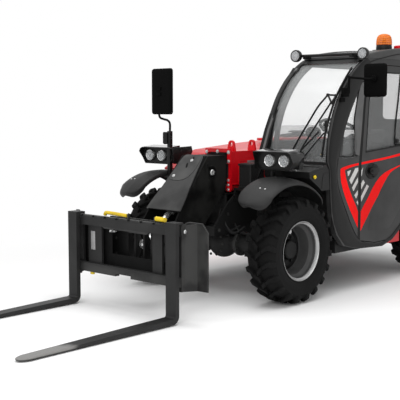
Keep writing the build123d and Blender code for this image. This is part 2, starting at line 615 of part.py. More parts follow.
# ---- engine side ----------------------------------------------------------------------------------
# The hood is a lid hinged along its inner top edge; it reaches forward over the wheel.
HOOD_SIDE = [
    (-85, 898), (-330, 1015), (-410, 1037), (-750, 1066), (-1180, 1100), (-1610, 1108), (-1650, 1085),
    (-1650, 800), (-1388, 800), (-1388, 470), (-478, 470), (-478, 800), (-330, 800), (-200, 828),
    (-85, 886),
]
HOOD_SECTION = [(-150, 460), (-150, 1115), (-560, 1112), (-660, 1076), (-720, 985), (-720, 460)]
SKIN = 12
hood = side_plate(HOOD_SIDE, -720, -150) & front_plate(HOOD_SECTION, -1700, 0)
hollow = side_face(offset(outline(HOOD_SIDE), -SKIN), -720, -150)
hollow &= Pos(-1700, 0, 0) * extrude(Plane.YZ * offset(outline(HOOD_SECTION), -SKIN), 1700)
hood -= hollow
hood -= block(-1376, -490, -708, -162, 460, 490)
hood -= block(-1376, -490, -163, -149, 460, 1010)
# cooling louvres low in the side, hinge barrels along the inner wall
LOUVRE_X = range(-1320, -640, 62)
for x in LOUVRE_X:
    hood -= block(x - 13, x + 13, -722, -704, 560, 760)
HOOD_HINGE = (-140, 1050)
HOOD_HINGE_X = (-1180, -560)
for x in HOOD_HINGE_X:
    hood += rod_x(*HOOD_HINGE, 9, x - 24, x + 24) + block(x - 24, x + 24, -152, -144, 1046, 1054)
save(hood, "engine_hood")
tray = block(-1386, -480, -700, -146, 402, 412)
tray += block(-1386, -480, -712, -700, 402, 464)
tray += block(-1370, -496, -146, -134, 402, 1030)
for x in HOOD_HINGE_X:
    for low, high in ((x - 66, x - 26), (x + 26, x + 66)):
        tray += rod_x(*HOOD_HINGE, 9, low, high) + block(low, high, -145, -135, 1028, 1045)
save(tray, "engine_tray")
save(block(-1330, -620, -600, -200, 412, 950), "engine")

# ---- counterweight with the towing jaw ------------------------------------------------------------
weight = block(REAR_END, -2135, -250, 250, 420, 900)
weight = chamfer(weight.edges().filter_by(Axis.Y).sort_by(Axis.X)[0:2], 30)
weight += block(REAR_END, -2252, -690, 690, 820, 900)
weight -= block(REAR_END - 1, -2240, -70, 70, 580, 640)
weight -= rod_z(-2278, 0, 16, 540, 901)
save(weight, "counterweight")
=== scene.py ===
from math import cos, pi, radians, sin, sqrt, tau

import bmesh
import bpy
from mathutils import Matrix, Vector


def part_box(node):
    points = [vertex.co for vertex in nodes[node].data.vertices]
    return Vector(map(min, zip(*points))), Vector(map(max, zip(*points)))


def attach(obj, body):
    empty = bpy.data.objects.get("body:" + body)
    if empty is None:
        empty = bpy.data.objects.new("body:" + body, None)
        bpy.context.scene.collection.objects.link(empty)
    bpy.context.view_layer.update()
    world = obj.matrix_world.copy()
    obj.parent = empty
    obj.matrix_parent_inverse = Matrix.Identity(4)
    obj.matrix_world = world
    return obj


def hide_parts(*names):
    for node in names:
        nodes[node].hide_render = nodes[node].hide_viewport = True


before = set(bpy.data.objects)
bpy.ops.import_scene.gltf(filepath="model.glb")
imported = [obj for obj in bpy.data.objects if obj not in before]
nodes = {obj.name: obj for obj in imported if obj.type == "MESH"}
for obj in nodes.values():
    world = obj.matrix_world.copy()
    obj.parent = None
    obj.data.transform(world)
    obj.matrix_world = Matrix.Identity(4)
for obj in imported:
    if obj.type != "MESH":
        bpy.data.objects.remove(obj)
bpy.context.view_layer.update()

# ---- where the machine stands -----------------------------------------------------------
# Everything below is measured from the ground point under the middle of the front axle,
# X forward and Y to the driver's left, and is moved into the frame by this one shift.
left_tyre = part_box("front_left_tyre")
right_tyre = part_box("front_right_tyre")
rear_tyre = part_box("rear_left_tyre")
HERE = Vector(((left_tyre[0].x + left_tyre[1].x) / 2, (left_tyre[1].y + right_tyre[0].y) / 2, 0))
AXLE_Z = (left_tyre[0].z + left_tyre[1].z) / 2
TYRE_R = (left_tyre[1].z - left_tyre[0].z) / 2
REAR_AXLE_X = (rear_tyre[0].x + rear_tyre[1].x) / 2 - HERE.x
WHEEL_Y = (left_tyre[0].y + left_tyre[1].y) / 2 - HERE.y


# ---- studio -----------------------------------------------------------------------------
# A pale plain floor under an even white sky, with one broad soft lamp overhead and a
# weaker one ahead on the left. The camera stands ahead of the left front corner.
class Wire:
    """A socket in a material's nodes; sums and products of wires add Math nodes."""

    def __init__(self, tree, socket=None):
        self.tree = tree
        self.socket = socket

    def node(self, kind, settings, inputs, out=0):
        """Any node: its settings first, then the values or wires of its inputs."""
        made = self.tree.nodes.new(kind)
        for key, value in settings.items():
            if key == "stops":
                ramp = made.color_ramp
                while len(ramp.elements) < len(value):
                    ramp.elements.new(0.5)
                for stop, (place, colour) in zip(ramp.elements, value):
                    stop.position = place
                    stop.color = colour
            else:
                setattr(made, key, value)
        for key, value in inputs.items():
            if isinstance(value, Wire):
                self.tree.links.new(value.socket, made.inputs[key])
            else:
                made.inputs[key].default_value = value
        return Wire(self.tree, made.outputs[out])

    def maths(self, operation, a, b):
        return self.node("ShaderNodeMath", {"operation": operation}, {0: a, 1: b})

    def __add__(self, other):
        return self.maths("ADD", self, other)

    def __sub__(self, other):
        return self.maths("SUBTRACT", self, other)

    def __rsub__(self, other):
        return self.maths("SUBTRACT", other, self)

    def __mul__(self, other):
        return self.maths("MULTIPLY", self, other)

    def __gt__(self, other):
        return self.maths("GREATER_THAN", self, other)

    def __lt__(self, other):
        return self.maths("LESS_THAN", self, other)

    __radd__, __rmul__ = __add__, __mul__

    def between(self, low, high):
        """0 below low, 1 above high, smooth between them."""
        settings = {"interpolation_type": "SMOOTHSTEP"}
        return self.node("ShaderNodeMapRange", settings, {"Value": self, 1: low, 2: high})

    def shades(self, *stops):
        """Colours of a ramp along this wire."""
        return self.node("ShaderNodeValToRGB", {"stops": stops}, {"Fac": self})

    def over(self, under, top):
        """The top colour laid over the other where this wire is 1."""
        return self.node("ShaderNodeMix", {"data_type": "RGBA"}, {0: self, 6: under, 7: top}, out=2)

    def relief(self, strength, distance):
        return self.node("ShaderNodeBump", {}, {"Height": self, "Strength": strength, "Distance": distance})

    def spot(self, axis=None):
        """The place on the machine, or its measure along one axis."""
        place = self.node("ShaderNodeTexCoord", {}, {}, out="Object")
        return self.node("ShaderNodeSeparateXYZ", {}, {"Vector": place}, out=axis) if axis else place

    def noise(self, scale, detail):
        return self.node("ShaderNodeTexNoise", {}, {"Vector": self.spot(), "Scale": scale, "Detail": detail})

    def bands(self, direction, scale, distortion, detail=2):
        inputs = {"Vector": self.spot(), "Scale": scale, "Distortion": distortion, "Detail": detail}
        return self.node("ShaderNodeTexWave", {"bands_direction": direction}, inputs)

    def rim(self, blend):
        """Rises from 0 to 1 where the surface turns away."""
        return self.node("ShaderNodeLayerWeight", {}, {"Blend": blend}, out="Facing")


def srgb(red, green, blue):
    """A screen colour of 0 to 255 as the linear colour that shaders take."""
    shares = [channel / 255 for channel in (red, green, blue)]
    return (*[s / 12.92 if s < 0.04045 else ((s + 0.055) / 1.055) ** 2.4 for s in shares], 1)


def grey(tone):
    return srgb(tone, tone, tone)


def new_material(name):
    material = bpy.data.materials.new(name)
    material.use_nodes = True
    material.node_tree.nodes.clear()
    return material, Wire(material.node_tree)


def shader_out(wire, shader, kind="Material"):
    output = wire.tree.nodes.new(f"ShaderNodeOutput{kind}")
    wire.tree.links.new(shader.socket, output.inputs["Surface"])


def skin(material, colour, rough, relief=None, **more):
    """Gives a material its surface; underscores in the names of more sockets are spaces."""
    inputs = {"Base Color": colour, "Roughness": rough}
    if relief:
        inputs["Normal"] = relief
    inputs.update({key.replace("_", " "): value for key, value in more.items()})
    shader_out(rough, rough.node("ShaderNodeBsdfPrincipled", {}, inputs))
    return material


FLOOR_SIZE = 60
FLOOR_COLOUR = srgb(250, 250, 250)
SKY_FILL = 0.62
CLEAR_FROM, WHITE_FROM = 1.5, 3.4

floor_mesh = bpy.data.meshes.new("floor")
half = FLOOR_SIZE / 2
corners = [(-half, -half, 0), (half, -half, 0), (half, half, 0), (-half, half, 0)]
floor_mesh.from_pydata(corners, [], [(0, 1, 2, 3)])
floor = bpy.data.objects.new("floor", floor_mesh)
bpy.context.scene.collection.objects.link(floor)
floor_material, wire = new_material("floor")
paper = wire.node("ShaderNodeBsdfDiffuse", {}, {"Color": FLOOR_COLOUR})
glow = wire.node("ShaderNodeEmission", {}, {"Color": (1, 1, 1, 1), "Strength": 1})
eye = wire.node("ShaderNodeLightPath", {}, {}, out="Is Camera Ray")
flat = wire.node("ShaderNodeVectorMath", {"operation": "MULTIPLY"}, {0: wire.spot(), 1: (0.72, 1, 0)})
away = wire.node("ShaderNodeVectorMath", {"operation": "LENGTH"}, {0: flat}, out="Value")
far = away.between(CLEAR_FROM, WHITE_FROM)
shader_out(wire, wire.node("ShaderNodeMixShader", {}, {0: eye * far, 1: paper, 2: glow}))
floor_mesh.materials.append(floor_material)

world = bpy.data.worlds.new("sky")
bpy.context.scene.world = world
world.use_nodes = True
sky = Wire(world.node_tree)
world.node_tree.nodes.clear()
seen = sky.node("ShaderNodeLightPath", {}, {}, out="Is Camera Ray")
glossy = sky.node("ShaderNodeLightPath", {}, {}, out="Is Glossy Ray")
through = sky.node("ShaderNodeLightPath", {}, {}, out="Is Transmission Ray")
plain = sky.maths("MAXIMUM", sky.maths("MAXIMUM", seen, through), glossy * 0.9)
strength = sky.maths("MAXIMUM", plain, SKY_FILL)
light = sky.node("ShaderNodeBackground", {}, {"Color": (1, 1, 1, 1), "Strength": strength})
shader_out(sky, light, "World")

LAMPS = [("overhead", (0.6, 0.4, 5.2), (0, 0, 0), 5, 190), ("front_left", (5.4, 3.2, 3), (0, 0, 0.7), 3, 95)]
for name, place, aim, width, power in LAMPS:
    lamp_data = bpy.data.lights.new(name, "AREA")
    lamp_data.size = width
    lamp_data.energy = power
    lamp = bpy.data.objects.new(name, lamp_data)
    lamp.location = place
    lamp.rotation_euler = (Vector(aim) - Vector(place)).to_track_quat("-Z", "Y").to_euler()
    bpy.context.scene.collection.objects.link(lamp)

EYE_POINT = (5.0849, 4.3264, 1.3511)
HEADING = 0.7512
LOOK_DOWN = 0.098
LENS = 81.29
camera_data = bpy.data.cameras.new("camera")
camera_data.lens = LENS
camera = bpy.data.objects.new("camera", camera_data)
camera.location = EYE_POINT
camera.rotation_euler = (pi / 2 - LOOK_DOWN, 0, pi / 2 + HEADING)
bpy.context.scene.collection.objects.link(camera)
bpy.context.scene.camera = camera
bpy.context.scene.view_settings.view_transform = "Standard"


# ---- tyres ------------------------------------------------------------------------------
# Industrial tractor tyres: a moulded black carcass with two staggered rows of kinked lugs
# that meet in cut blocks on the middle line and run over the shoulder onto the sidewall.
SIDES = ("left", 1), ("right", -1)
AXLES = ("front", 0), ("rear", REAR_AXLE_X)
ORDERS = {"X": (2, 0, 1), "Y": (0, 2, 1), "Z": (0, 1, 2)}


class Part:
    """One piece's mesh in the making, in metres from the front axle."""

    def __init__(self):
        self.mesh = bmesh.new()
        self.finish = 0

    def shell(self, rings, capped=False):
        """Faces between closed rings of points."""
        rows = [[self.mesh.verts.new(p) for p in ring] for ring in rings]
        made = []
        for a, b in zip(rows, rows[1:]):
            for i in range(len(a)):
                j = (i + 1) % len(a)
                made.append(self.mesh.faces.new((a[i], a[j], b[j], b[i])))
        if capped:
            made += [self.mesh.faces.new(rows[0][::-1]), self.mesh.faces.new(rows[-1])]
        for face in made:
            face.material_index = self.finish
        return rows

    def turn(self, profile, place, axis="Y", steps=64, side=1):
        """A closed profile of (radius, distance along the axis) turned round the axis."""
        order = ORDERS[axis]
        rings = []
        for k in range(steps + 1):
            angle = tau * k / steps
            c, s = cos(angle), sin(angle)
            ring = [(radius * c, radius * s, along * side) for radius, along in profile]
            rings.append([Vector(place) + Vector([point[i] for i in order]) for point in ring])
        rows = self.shell(rings)
        for first, last in zip(rows[0], rows[-1]):
            last.co = first.co

    def prism(self, rings, edge, rounds):
        """A solid between two outlines, its edges eased."""
        start = len(self.mesh.edges)
        self.shell(rings, capped=True)
        if edge:
            self.mesh.edges.ensure_lookup_table()
            bmesh.ops.bevel(
                self.mesh, geom=list(self.mesh.edges)[start:], offset=edge, segments=rounds,
                affect="EDGES", profile=0.5, clamp_overlap=True, material=-1)

    def press(self, outline, axis, low, high, edge=0, rounds=2):
        """A flat outline given thickness along an axis."""
        self.prism([[[(u, v, depth)[i] for i in ORDERS[axis]] for u, v in outline]
                    for depth in sorted((low, high))], edge, rounds)

    def block(self, low, high, edge=0.002, rounds=2):
        """A box between two corners."""
        (x0, x1), (y0, y1), (z0, z1) = map(sorted, zip(low, high))
        self.press(oblong(x0, x1, y0, y1), "Z", z0, z1, edge, rounds)

    def tube(self, points, radius, sides=12, smooth=6, flat=1):
        """A round bar or hose along a smoothed line of points."""
        path = curve_through([Vector(p) for p in points], smooth)
        rings = []
        normal = None
        for i, point in enumerate(path):
            tangent = (path[min(i + 1, len(path) - 1)] - path[max(i - 1, 0)]).normalized()
            if normal is None:
                normal = across(tangent)
            normal = (normal - tangent * normal.dot(tangent)).normalized()
            rings.append(circle(point, normal, tangent.cross(normal) * flat, radius, sides))
        self.shell(rings, capped=True)

    def bolt(self, place, out, radius=0.009, depth=0.007):
        """A hexagon head on a washer, standing out along a direction."""
        out = Vector(out).normalized()
        u = across(out)
        # washer, then head: radius share, height share, corners
        for stack in (((1.45, -0.15, 24), (1.45, 0.2, 24)), ((1, 0.2, 6), (1, 0.85, 6), (0.86, 1, 6))):
            self.shell([
                circle(Vector(place) + out * depth * height, u, out.cross(u), radius * share, corners)
                for share, height, corners in stack], capped=True)

    def make(self, name, finishes, body="chassis", sharp=32, bevel=0):
        """Turns the gathered mesh into a piece that rides on a body."""
        bmesh.ops.remove_doubles(self.mesh, verts=self.mesh.verts, dist=1e-06)
        bmesh.ops.recalc_face_normals(self.mesh, faces=self.mesh.faces)
        self.mesh.transform(Matrix.Translation(HERE))
        data = bpy.data.meshes.new(name)
        self.mesh.to_mesh(data)
        self.mesh.free()
        for finish in finishes if isinstance(finishes, list) else [finishes]:
            data.materials.append(finish)
        data.polygons.foreach_set("use_smooth", [True] * len(data.polygons))
        data.set_sharp_from_angle(angle=radians(sharp))
        piece = bpy.data.objects.new(name, data)
        bpy.context.scene.collection.objects.link(piece)
        if bevel:
            ease = piece.modifiers.new("eased edges", "BEVEL")
            ease.width = bevel
            ease.segments = 2
            ease.limit_method = "ANGLE"
            ease.angle_limit = radians(35)
        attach(piece, body)
        return piece


def across(out):
    """A direction square to the given one."""
    guide = Vector((0, 0, 1)) if abs(out.z) < 0.9 else Vector((1, 0, 0))
    return out.cross(guide).normalized()


def oblong(u0, u1, v0, v1):
    return [(u0, v0), (u1, v0), (u1, v1), (u0, v1)]


def circle(middle, u, v, radius, sides):
    angles = [tau * k / sides for k in range(sides)]
    return [middle + (u * cos(a) + v * sin(a)) * radius for a in angles]


def polar(x, y, z, radius, angle):
    """A point at a radius and an angle round an axle that runs across."""
    return x + radius * cos(angle), y, z + radius * sin(angle)


def curve_through(points, steps):
    """Points along a soft curve that passes through the given ones."""
    if steps < 2 or len(points) < 3:
        return points
    ends = [points[0] * 2 - points[1], *points, points[-1] * 2 - points[-2]]
    path = []
    for a, b, c, d in zip(ends, ends[1:], ends[2:], ends[3:]):
        for k in range(steps):
            t = k / steps
            path.append(b + (c - a) * (t / 2) + (a * 2 - b * 5 + c * 4 - d) * (t * t / 2)
                + (b * 3 - a - c * 3 + d) * (t ** 3 / 2))
    path.append(points[-1])
    return path


def tyre_rubber(name):
    material, wire = new_material(name)
    dust, grain = wire.noise(9, 5), wire.noise(420, 2)
    return skin(material, dust.shades((0.35, grey(12)), (0.7, grey(21))), 0.56 + dust * 0.3,
                (grain + dust * 0.4).relief(0.35, 0.001), Specular_IOR_Level=0.12)


TYRE_WALL = [(0.2035, 0.086), (0.206, 0.098), (0.214, 0.1035), (0.222, 0.1065), (0.232, 0.1145),
    (0.236, 0.1165), (0.24, 0.1165), (0.256, 0.1215), (0.28, 0.1235), (0.303, 0.1215), (0.307, 0.1225),
    (0.311, 0.1205), (0.326, 0.1135), (0.338, 0.102), (0.346, 0.086), (0.35, 0.045), (0.351, 0)]
LUGS_PER_SIDE = 20
LUG_BAR = [(0.043, 0.3758, 0.043, 0.342, 0.031, 0.015), (0.062, 0.374, 0.062, 0.34, 0.045, 0.0155),
    (0.082, 0.371, 0.08, 0.337, 0.058, 0.0175), (0.101, 0.366, 0.095, 0.333, 0.062, 0.02),
    (0.1165, 0.356, 0.106, 0.326, 0.057, 0.021), (0.124, 0.342, 0.112, 0.318, 0.052, 0.02),
    (0.1262, 0.325, 0.115, 0.31, 0.049, 0.0175), (0.1255, 0.315, 0.117, 0.305, 0.048, 0.014)]
LUG_BLOCK = [(-0.007, 0.3768, -0.007, 0.343, -0.012, 0.019), (0.016, 0.3766, 0.016, 0.343, 0.008, 0.0185),
    (0.039, 0.376, 0.039, 0.342, 0.027, 0.0165)]
TOP_DRAFT = 0.0022
FOOT_DRAFT = 0.0035


def lug(part, stations, x, side, hand, turn_by):
    """One lug as a drafted bar across the tread; side is the tread row, hand the wheel's."""
    rings = []
    for top_y, top_r, foot_y, foot_r, along, width in stations:
        ring = []
        foot, top = width + FOOT_DRAFT, width - TOP_DRAFT
        for y, r, offset in (
                (foot_y, foot_r, -foot), (top_y, top_r, -top), (top_y, top_r, top), (foot_y, foot_r, foot)):
            angle = turn_by + (along + offset) / TYRE_R
            ring.append(polar(x, hand * (WHEEL_Y + side * y), AXLE_Z, r, angle))
        rings.append(ring)
    part.shell(rings, capped=True)


rubber = tyre_rubber("tyre_rubber")
for end, x in AXLES:
    for side_name, hand in SIDES:
        tyre = Part()
        inner = [(r, -y) for r, y in TYRE_WALL[-2::-1]]
        tyre.turn(TYRE_WALL + inner, (x, hand * WHEEL_Y, AXLE_Z), steps=90)
        for row in (1, -1):
            for k in range(LUGS_PER_SIDE):
                turn_by = tau * (k + (0.5 if row < 0 else 0)) / LUGS_PER_SIDE
                lug(tyre, LUG_BAR, x, row, hand, turn_by)
                lug(tyre, LUG_BLOCK, x, row, hand, turn_by)
        piece = tyre.make(f"{end}_{side_name}_lugged_tyre", rubber, f"{end}_{side_name}_wheel", bevel=0.0016)
        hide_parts(f"{end}_{side_name}_tyre")


# ---- rims -------------------------------------------------------------------------------
# Deep-dished steel rims in silver paint: stepped bead seats, a barrel inside the dish painted
# darker grey as painted shade, a black wheel disc set far in, eight wheel nuts round a black
# hub, and a tube over the valve.
def silver_paint(name, tone=176, rough=0.3):
    material, wire = new_material(name)
    haze, fleck = wire.noise(14, 6), wire.noise(900, 1)
    return skin(material, haze.shades((0.3, grey(tone - 22)), (0.62, grey(tone))), rough + haze * 0.16,
                fleck.relief(0.12, 0.0006), Metallic=0.75)


def black_paint(name, tone, rough=0.42, wear=0, speckle=1, shine=0.22):
    """Black or grey chassis paint: faint cloudiness, fine orange peel, rubbed edges."""
    material, wire = new_material(name)
    cloud, peel = wire.noise(6, 6), wire.noise(330, 3)
    edge = wire.node("ShaderNodeNewGeometry", {}, {}, out="Pointiness").between(0.52, 0.6)
    rubbed = edge * cloud.between(0.35, 0.6) * wear
    colour = rubbed.over(cloud.shades((0.3, grey(tone * 0.84)), (0.7, grey(tone * 1.1))),
                         srgb(tone + 60, tone + 60, tone + 58))
    return skin(material, colour, rough + cloud * 0.14, (peel * speckle).relief(0.16, 0.0008),
                Specular_IOR_Level=shine)


RIM_WALL = [(0.2095, 0.1072), (0.206, 0.1072), (0.2035, 0.103), (0.2, 0.0985), (0.196, 0.0955),
    (0.1925, 0.093), (0.1905, 0.086)]
RIM_BARREL = [(0.1905, 0.086), (0.189, 0.064), (0.184, 0.056), (0.1725, 0.048), (0.169, 0.042),
    (0.168, -0.03), (0.164, -0.038), (0.156, -0.04), (0.15, -0.037), (0.146, -0.033)]
RIM_BACK = [(0.146, -0.044), (0.16, -0.047), (0.174, -0.045), (0.188, -0.06), (0.19, -0.093), (0.204, -0.103),
    (0.206, -0.1072), (0.21, -0.1072), (0.2118, -0.105), (0.208, -0.099), (0.196, -0.088), (0.195, -0.056),
    (0.178, -0.04), (0.176, 0.04), (0.195, 0.056), (0.196, 0.088), (0.208, 0.099), (0.2118, 0.105)]
DISC_WALL = [(0.1465, -0.033), (0.13, -0.029), (0.118, -0.02), (0.102, -0.018), (0.075, -0.018),
    (0.071, -0.008), (0.067, 0.012), (0.058, 0.018), (0.02, 0.019), (0, 0.019), (0, 0.004), (0.036, 0.004),
    (0.036, -0.044), (0.1465, -0.044)]
WHEEL_NUTS = 8
NUT_CIRCLE = 0.09
VALVE_ANGLE = 62
silver = silver_paint("rim_silver")
# the inner barrel gets a darker grey than the silver: painted shade deep inside the dish
barrel_painted_shade = black_paint("rim_barrel_painted_shade", 66, rough=0.42)
disc_black = black_paint("wheel_disc_black", 14, rough=0.42)
bright_zinc = silver_paint("bright_zinc", tone=205, rough=0.22)
for end, x in AXLES:
    for side_name, hand in SIDES:
        middle = (x, hand * WHEEL_Y, AXLE_Z)
        rim = Part()
        rim.turn(RIM_WALL, middle, steps=96, side=hand)
        # barrel and back of the rim in the darker grey of painted shade
        rim.finish = 3
        rim.turn(RIM_BARREL + RIM_BACK, middle, steps=96, side=hand)
        rim.finish = 1
        rim.turn(DISC_WALL, middle, steps=72, side=hand)
        for k in range(WHEEL_NUTS):
            angle = tau * (k + 0.5) / WHEEL_NUTS
            nut = polar(x, hand * (WHEEL_Y - 0.018), AXLE_Z, NUT_CIRCLE, angle)
            rim.bolt(nut, (0, hand, 0), radius=0.01, depth=0.014)
        # the guard over the valve, welded inside the dish
        rim.finish = 2
        lean = radians(VALVE_ANGLE)
        root = polar(x, hand * (WHEEL_Y - 0.005), AXLE_Z, 0.166, lean)
        tip = polar(x, hand * (WHEEL_Y + 0.062), AXLE_Z, 0.158, lean)
        rim.tube([root, tip], 0.0145, sides=16)
        piece = rim.make(f"{end}_{side_name}_dished_rim", [silver, disc_black, bright_zinc, barrel_painted_shade],
            f"{end}_{side_name}_wheel", sharp=28)
        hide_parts(f"{end}_{side_name}_rim")


# ---- axles and knuckles -----------------------------------------------------------------
# Cast and fabricated running gear in black paint, with bolted housings and a steering ram
# with a chromed rod on each axle.
def dress(node, material):
    """Gives a CAD node its finish."""
    target = nodes[node].data
    target.materials.clear()
    target.materials.append(material)


HOUSING_BOLTS, HOUSING_CIRCLE = 10, 0.088
FLANGE_BOLTS, FLANGE_CIRCLE = 8, 0.077
casting = black_paint("axle_black", 30, rough=0.5, wear=0.3)
chrome = silver_paint("chromed_rod", tone=225, rough=0.1)
dress("axles", casting)
for end in ("front", "rear"):
    for hand in ("left", "right"):
        dress(f"{end}_{hand}_knuckle", casting)
for end, x in AXLES:
    gear = Part()
    for k in range(HOUSING_BOLTS):
        angle = tau * k / HOUSING_BOLTS
        place = x + 0.1165, HOUSING_CIRCLE * cos(angle), AXLE_Z + HOUSING_CIRCLE * sin(angle)
        gear.bolt(place, (1, 0, 0), radius=0.007, depth=0.008)
    gear.turn([(0, 0.104), (0.04, 0.104), (0.052, 0.1), (0.098, 0.052), (0.104, 0.045), (0.104, 0.03),
        (0, 0.03)], (x, 0, AXLE_Z), axis="X", steps=40)
    for hand in (1, -1):
        # flanges where the beam's arms are bolted to the middle housing
        gear.turn([(0.05, 0.16), (0.088, 0.16), (0.09, 0.163), (0.09, 0.18), (0.088, 0.183), (0.05, 0.183)],
            (x, 0, AXLE_Z), steps=36, side=hand)
        for k in range(FLANGE_BOLTS):
            place = polar(x, hand * 0.183, AXLE_Z, FLANGE_CIRCLE, tau * (k + 0.5) / FLANGE_BOLTS)
            gear.bolt(place, (0, hand, 0), radius=0.006, depth=0.006)
    gear.make(f"{end}_axle_housing", casting, sharp=30)
    rams = Part()
    ram_x = x - 0.105 if end == "front" else x + 0.118
    for finish, reach, radius, sides in ((0, 0.15, 0.026, 20), (1, 0.32, 0.012, 16)):
        rams.finish = finish
        rams.tube([(ram_x, -reach, AXLE_Z + 0.03), (ram_x, reach, AXLE_Z + 0.03)], radius, sides)
    rams.make(f"{end}_steering_ram", [casting, chrome])

# ---- boom -------------------------------------------------------------------------------
# A folded steel tube in glossy red: bolts and wear pads round its mouth, weld seams along
# the stiffening plate on each side, and a blank plate on the left.
def gloss_paint(name, red, green, blue, rough=0.26, coat=0.12, shine=0.3):
    """Glossy machine paint with slight orange peel and a thin film of dust."""
    material, wire = new_material(name)
    cloud, peel = wire.noise(3, 6), wire.noise(160, 2)
    dark = srgb(red * 0.86, green * 0.8, blue * 0.8)
    return skin(material, cloud.shades((0.25, dark), (0.6, srgb(red, green, blue))), rough + cloud * 0.12,
                peel.relief(0.08, 0.0008), Coat_Weight=coat, Coat_Roughness=0.08, Specular_IOR_Level=shine)


red_paint = gloss_paint("machine_red", 206, 12, 26)
dress("boom_outer", red_paint)
collar = Part()
COLLAR_FRONT = 0.0765
for y, z in ((-0.108, 1.052), (0, 1.056), (0.108, 1.052), (0.109, 0.985), (-0.109, 0.985)):
    collar.bolt((COLLAR_FRONT, y, z), (1, 0, 0), radius=0.0095, depth=0.008)
for y in (0.107, -0.107):
    for z in (0.778, 0.812, 0.846):
        collar.bolt((COLLAR_FRONT, y, z), (1, 0, 0), radius=0.0075, depth=0.007)
collar.make("boom_collar_bolts", bright_zinc, "outer_boom")

boom_trim = Part()
# weld seams of the stiffening plates and the folded corner's base strip
for hand in (1, -1):
    side = hand * 0.1045
    boom_trim.tube([(-0.047, side, 0.823), (-0.047, side, 0.984)], 0.0028, sides=8)
    boom_trim.tube([(-1.49, side, 0.986), (-0.047, side, 0.986)], 0.0022, sides=8)
    boom_trim.block((-1.86, side, 0.808), (0.044, hand * 0.1, 0.818), 0.001)
boom_trim.make("boom_weld_seams", red_paint, "outer_boom")

pads = Part()
for hand in (1, -1):
    pads.block((0.012, hand * 0.0855, 0.835), (0.072, hand * 0.0915, 1.01), 0.001)
pads.block((0.012, -0.07, 1.0425), (0.072, 0.07, 1.0485), 0.001)
pads.make("boom_wear_pads", black_paint("wear_pad_black", 22, rough=0.6), "outer_boom")

plate = Part()
plate.block((-0.232, 0.1042, 0.942), (-0.142, 0.1056, 0.986), 0.0004)
plate.make("boom_blank_plate", silver_paint("plate_grey", tone=150, rough=0.4), "outer_boom")

# ---- gooseneck head ---------------------------------------------------------------------
# Two cut steel cheeks painted near black, darker than the grey front plate laid over them:
# the near black is painted shade of the recessed cheeks. A second plate with a rounded corner
# is bolted over the top; the tilt cylinder works between.
# the cheeks' near black is painted shade; the front plate keeps the grey of the same paint
head_shade_black = black_paint("head_shade_black", 9, rough=0.5, wear=0.2, shine=0.07)
head_grey = black_paint("head_grey", 58, rough=0.36, wear=0.15)
dress("boom_inner", head_shade_black)
SLOPE_TOP = Vector((0.322, 0, 1.032))
SLOPE_LOW = Vector((0.64, 0, 0.664))
slope_down = (SLOPE_LOW - SLOPE_TOP).normalized()
slope_out = Vector((-slope_down.z, 0, slope_down.x))


def on_slope(y, down, lift=0):
    """A point on the head's sloping front, measured down from its top edge."""
    return SLOPE_TOP + slope_down * down + Vector((0, y, 0)) + slope_out * lift


def slope_plate(part, outline, low, high, edge):
    """A plate on the sloping front from an outline of (across, down)."""
    part.prism([[on_slope(y, down, lift) for y, down in outline] for lift in (low, high)], edge, 2)


FRONT_SHEET = [(-0.062, -0.004), (0.07, -0.004), (0.084, 0.004), (0.096, 0.02), (0.101, 0.045), (0.112, 0.13),
    (0.126, 0.23), (0.136, 0.3), (0.15, 0.372), (0.16, 0.43), (0.166, 0.486), (-0.166, 0.486), (-0.16, 0.43),
    (-0.15, 0.372), (-0.136, 0.3), (-0.126, 0.23), (-0.112, 0.13), (-0.101, 0.055), (-0.094, 0.024),
    (-0.08, 0.004)]
OVER_SHEET = [(-0.06, 0), (0.066, 0), (0.08, 0.006), (0.088, 0.02), (0.092, 0.11), (0.086, 0.15),
    (0.064, 0.196), (0.03, 0.222), (-0.01, 0.232), (-0.06, 0.232), (-0.098, 0.226), (-0.112, 0.214),
    (-0.101, 0.06), (-0.092, 0.022), (-0.078, 0.004)]
sheet = Part()
slope_plate(sheet, FRONT_SHEET, 0.0005, 0.0085, 0.0015)
slope_plate(sheet, OVER_SHEET, 0.008, 0.0118, 0.0012)
sheet.make("head_front_plate", head_grey, "inner_boom", sharp=30)

fixings = Part()
for y, down in ((0.012, 0.052), (-0.078, 0.196)):
    fixings.bolt(on_slope(y, down, 0.0118), slope_out, radius=0.009, depth=0.007)
fixings.make("head_plate_bolts", bright_zinc, "inner_boom")
slot_shades = Part()


def slot_shade(part, middle, half_length, half_width, lean):
    """A round-ended black patch lying on the sloping plate: painted shade that stands for a slot in it."""
    outline = []
    for k in range(20):
        angle = tau * k / 20
        y = half_width * cos(angle)
        d = half_width * sin(angle) + (half_length if sin(angle) >= 0 else -half_length)
        outline.append((middle[0] + y * cos(lean) - d * sin(lean),
            middle[1] + y * sin(lean) + d * cos(lean)))
    slope_plate(part, outline, 0.0085, 0.0122, 0.0002)


# black patches painted as the shade in two slots of the plate
slot_shade(slot_shades, (0.016, 0.03), 0.007, 0.0065, -0.5)
slot_shade(slot_shades, (-0.008, 0.098), 0.014, 0.0085, -0.35)
slot_shades.make("head_plate_slot_shades", black_paint("hole_painted_shade", 6, rough=0.8), "inner_boom")

